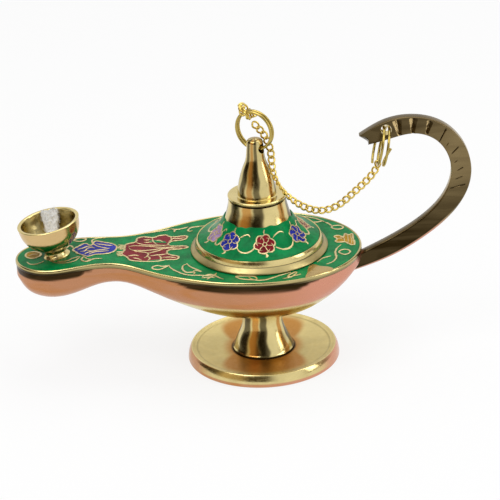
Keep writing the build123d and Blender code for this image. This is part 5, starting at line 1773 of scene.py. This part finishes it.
def studio_world():
    """White walls behind the lamp, and panels and gaps round its front for polish to show."""
    world = bpy.data.worlds.new("studio")
    bpy.context.scene.world = world
    world.use_nodes = True
    tree = world.node_tree
    tree.nodes.clear()
    parts = parts_of(tree, put(tree, "ShaderNodeTexCoord").outputs["Generated"])
    bearing = math_of(tree, "ARCTAN2", parts["X"], math_of(tree, "MULTIPLY", parts["Y"], -1))
    zones = put(tree, "ShaderNodeValToRGB", {"Fac": ranged(tree, bearing, -math.pi, math.pi)})
    stops = zones.color_ramp.elements
    stops[1].position = 1.0
    stops[1].color = (*STUDIO_ZONES[0][1], 1)
    stops[0].color = (*STUDIO_ZONES[0][1], 1)
    for position, tone in STUDIO_ZONES[1:]:
        stops.new(position).color = (*tone, 1)
    high = ranged(tree, parts["Z"], 0.55, 0.8, interpolation_type="SMOOTHSTEP")
    wall = colour_mix(tree, high, zones.outputs["Color"], (0.95, 0.95, 0.95))
    rays = put(tree, "ShaderNodeLightPath").outputs
    shown = colour_mix(tree, rays["Is Camera Ray"], wall, (1.0, 1.0, 1.0))
    sharp = put(tree, "ShaderNodeBackground", {"Color": shown}).outputs["Background"]
    even = put(tree, "ShaderNodeBackground", {"Color": (1, 1, 1, 1), "Strength": 0.5})
    light = shader_mix(tree, clear_rays(tree, rays), even.outputs["Background"], sharp)
    put(tree, "ShaderNodeOutputWorld", {"Surface": light})


def softbox(name, at, aim, wide, tall, power):
    """A soft area lamp that points at a place."""
    data = bpy.data.lights.new(name, "AREA")
    data.shape = "RECTANGLE"
    data.size = wide
    data.size_y = tall
    data.energy = power
    lamp = add_object(name, data)
    lamp.location = at
    lamp.rotation_euler = (Vector(aim) - Vector(at)).to_track_quat("-Z", "Y").to_euler()


class LAMP_OT_stage(bpy.types.Operator):
    """Pale floor, soft studio light and the camera"""

    bl_idname = "lamp.stage"
    bl_label = "Stage"

    def execute(self, context):
        half = 3000.0
        drop = -0.05
        corners = [(-half, -half, drop), (half, -half, drop), (half, half, drop), (-half, half, drop)]
        skin = Skin()
        skin.join(corners, [(0, 1, 2, 3)])
        make_piece("studio_floor", skin, floor_finish())
        studio_world()
        softbox("key softbox", (-0.35, -0.35, 0.75), (-0.02, 0, 0.04), 0.5, 0.5, 2.6)
        softbox("top softbox", (0.15, 0.25, 0.85), (0, 0, 0.04), 0.7, 0.7, 2.0)
        softbox("side strip", (0.6, -0.15, 0.35), (0, 0, 0.05), 0.2, 0.6, 1.2)
        data = bpy.data.cameras.new("photo camera")
        data.sensor_width = 36
        data.lens = 214.56
        data.clip_end = 20
        camera = add_object("photo camera", data)
        eye = (-0.00312, -0.8931, 0.4511)
        right = (0.99897, -0.01903, -0.04118)
        up = (0.04536, 0.41902, 0.90685)
        back = (0.0, -0.90778, 0.41945)
        turn = Matrix((right, up, back)).transposed().to_4x4()
        camera.matrix_world = Matrix.Translation(eye) @ turn
        context.scene.camera = camera
        context.scene.view_settings.view_transform = "Standard"
        return {"FINISHED"}


class LAMP_PT_panel(bpy.types.Panel):
    """Steps and settings of the lamp"""

    bl_idname = "LAMP_PT_panel"
    bl_label = "Oil Lamp"
    bl_space_type = "VIEW_3D"
    bl_region_type = "UI"
    bl_category = "Oil Lamp"

    def draw(self, context):
        for item in STEPS:
            self.layout.operator(item.bl_idname)
        for group in (context.scene.lamp_sizes, context.scene.lamp_colours):
            for key in group.__annotations__:
                self.layout.prop(group, key)


STEPS = (
    LAMP_OT_stage,
    LAMP_OT_foot,
    LAMP_OT_bowl,
    LAMP_OT_deck,
    LAMP_OT_deck_enamel,
    LAMP_OT_cup,
    LAMP_OT_wick,
    LAMP_OT_handle,
    LAMP_OT_lid,
    LAMP_OT_lid_enamel,
    LAMP_OT_finial,
    LAMP_OT_rings,
    LAMP_OT_chain,
    LAMP_OT_fixings,
)
CLASSES = (LampSizes, LampColours, *STEPS, LAMP_PT_panel)


def register():
    """Registers the classes and hangs the settings on the scene."""
    for item in CLASSES:
        bpy.utils.register_class(item)
    bpy.types.Scene.lamp_sizes = PointerProperty(type=LampSizes)
    bpy.types.Scene.lamp_colours = PointerProperty(type=LampColours)


def unregister():
    """Takes the settings and the classes away."""
    del bpy.types.Scene.lamp_colours
    del bpy.types.Scene.lamp_sizes
    for item in reversed(CLASSES):
        bpy.utils.unregister_class(item)


def main():
    """Builds the lamp step by step."""
    register()
    bpy.ops.lamp.stage()
    bpy.ops.lamp.foot()
    bpy.ops.lamp.bowl()
    bpy.ops.lamp.deck()
    bpy.ops.lamp.deck_enamel()
    bpy.ops.lamp.cup()
    bpy.ops.lamp.wick()
    bpy.ops.lamp.handle()
    bpy.ops.lamp.lid()
    bpy.ops.lamp.lid_enamel()
    bpy.ops.lamp.finial()
    bpy.ops.lamp.rings()
    bpy.ops.lamp.chain()
    bpy.ops.lamp.fixings()


if __name__ == "__main__":
    main()
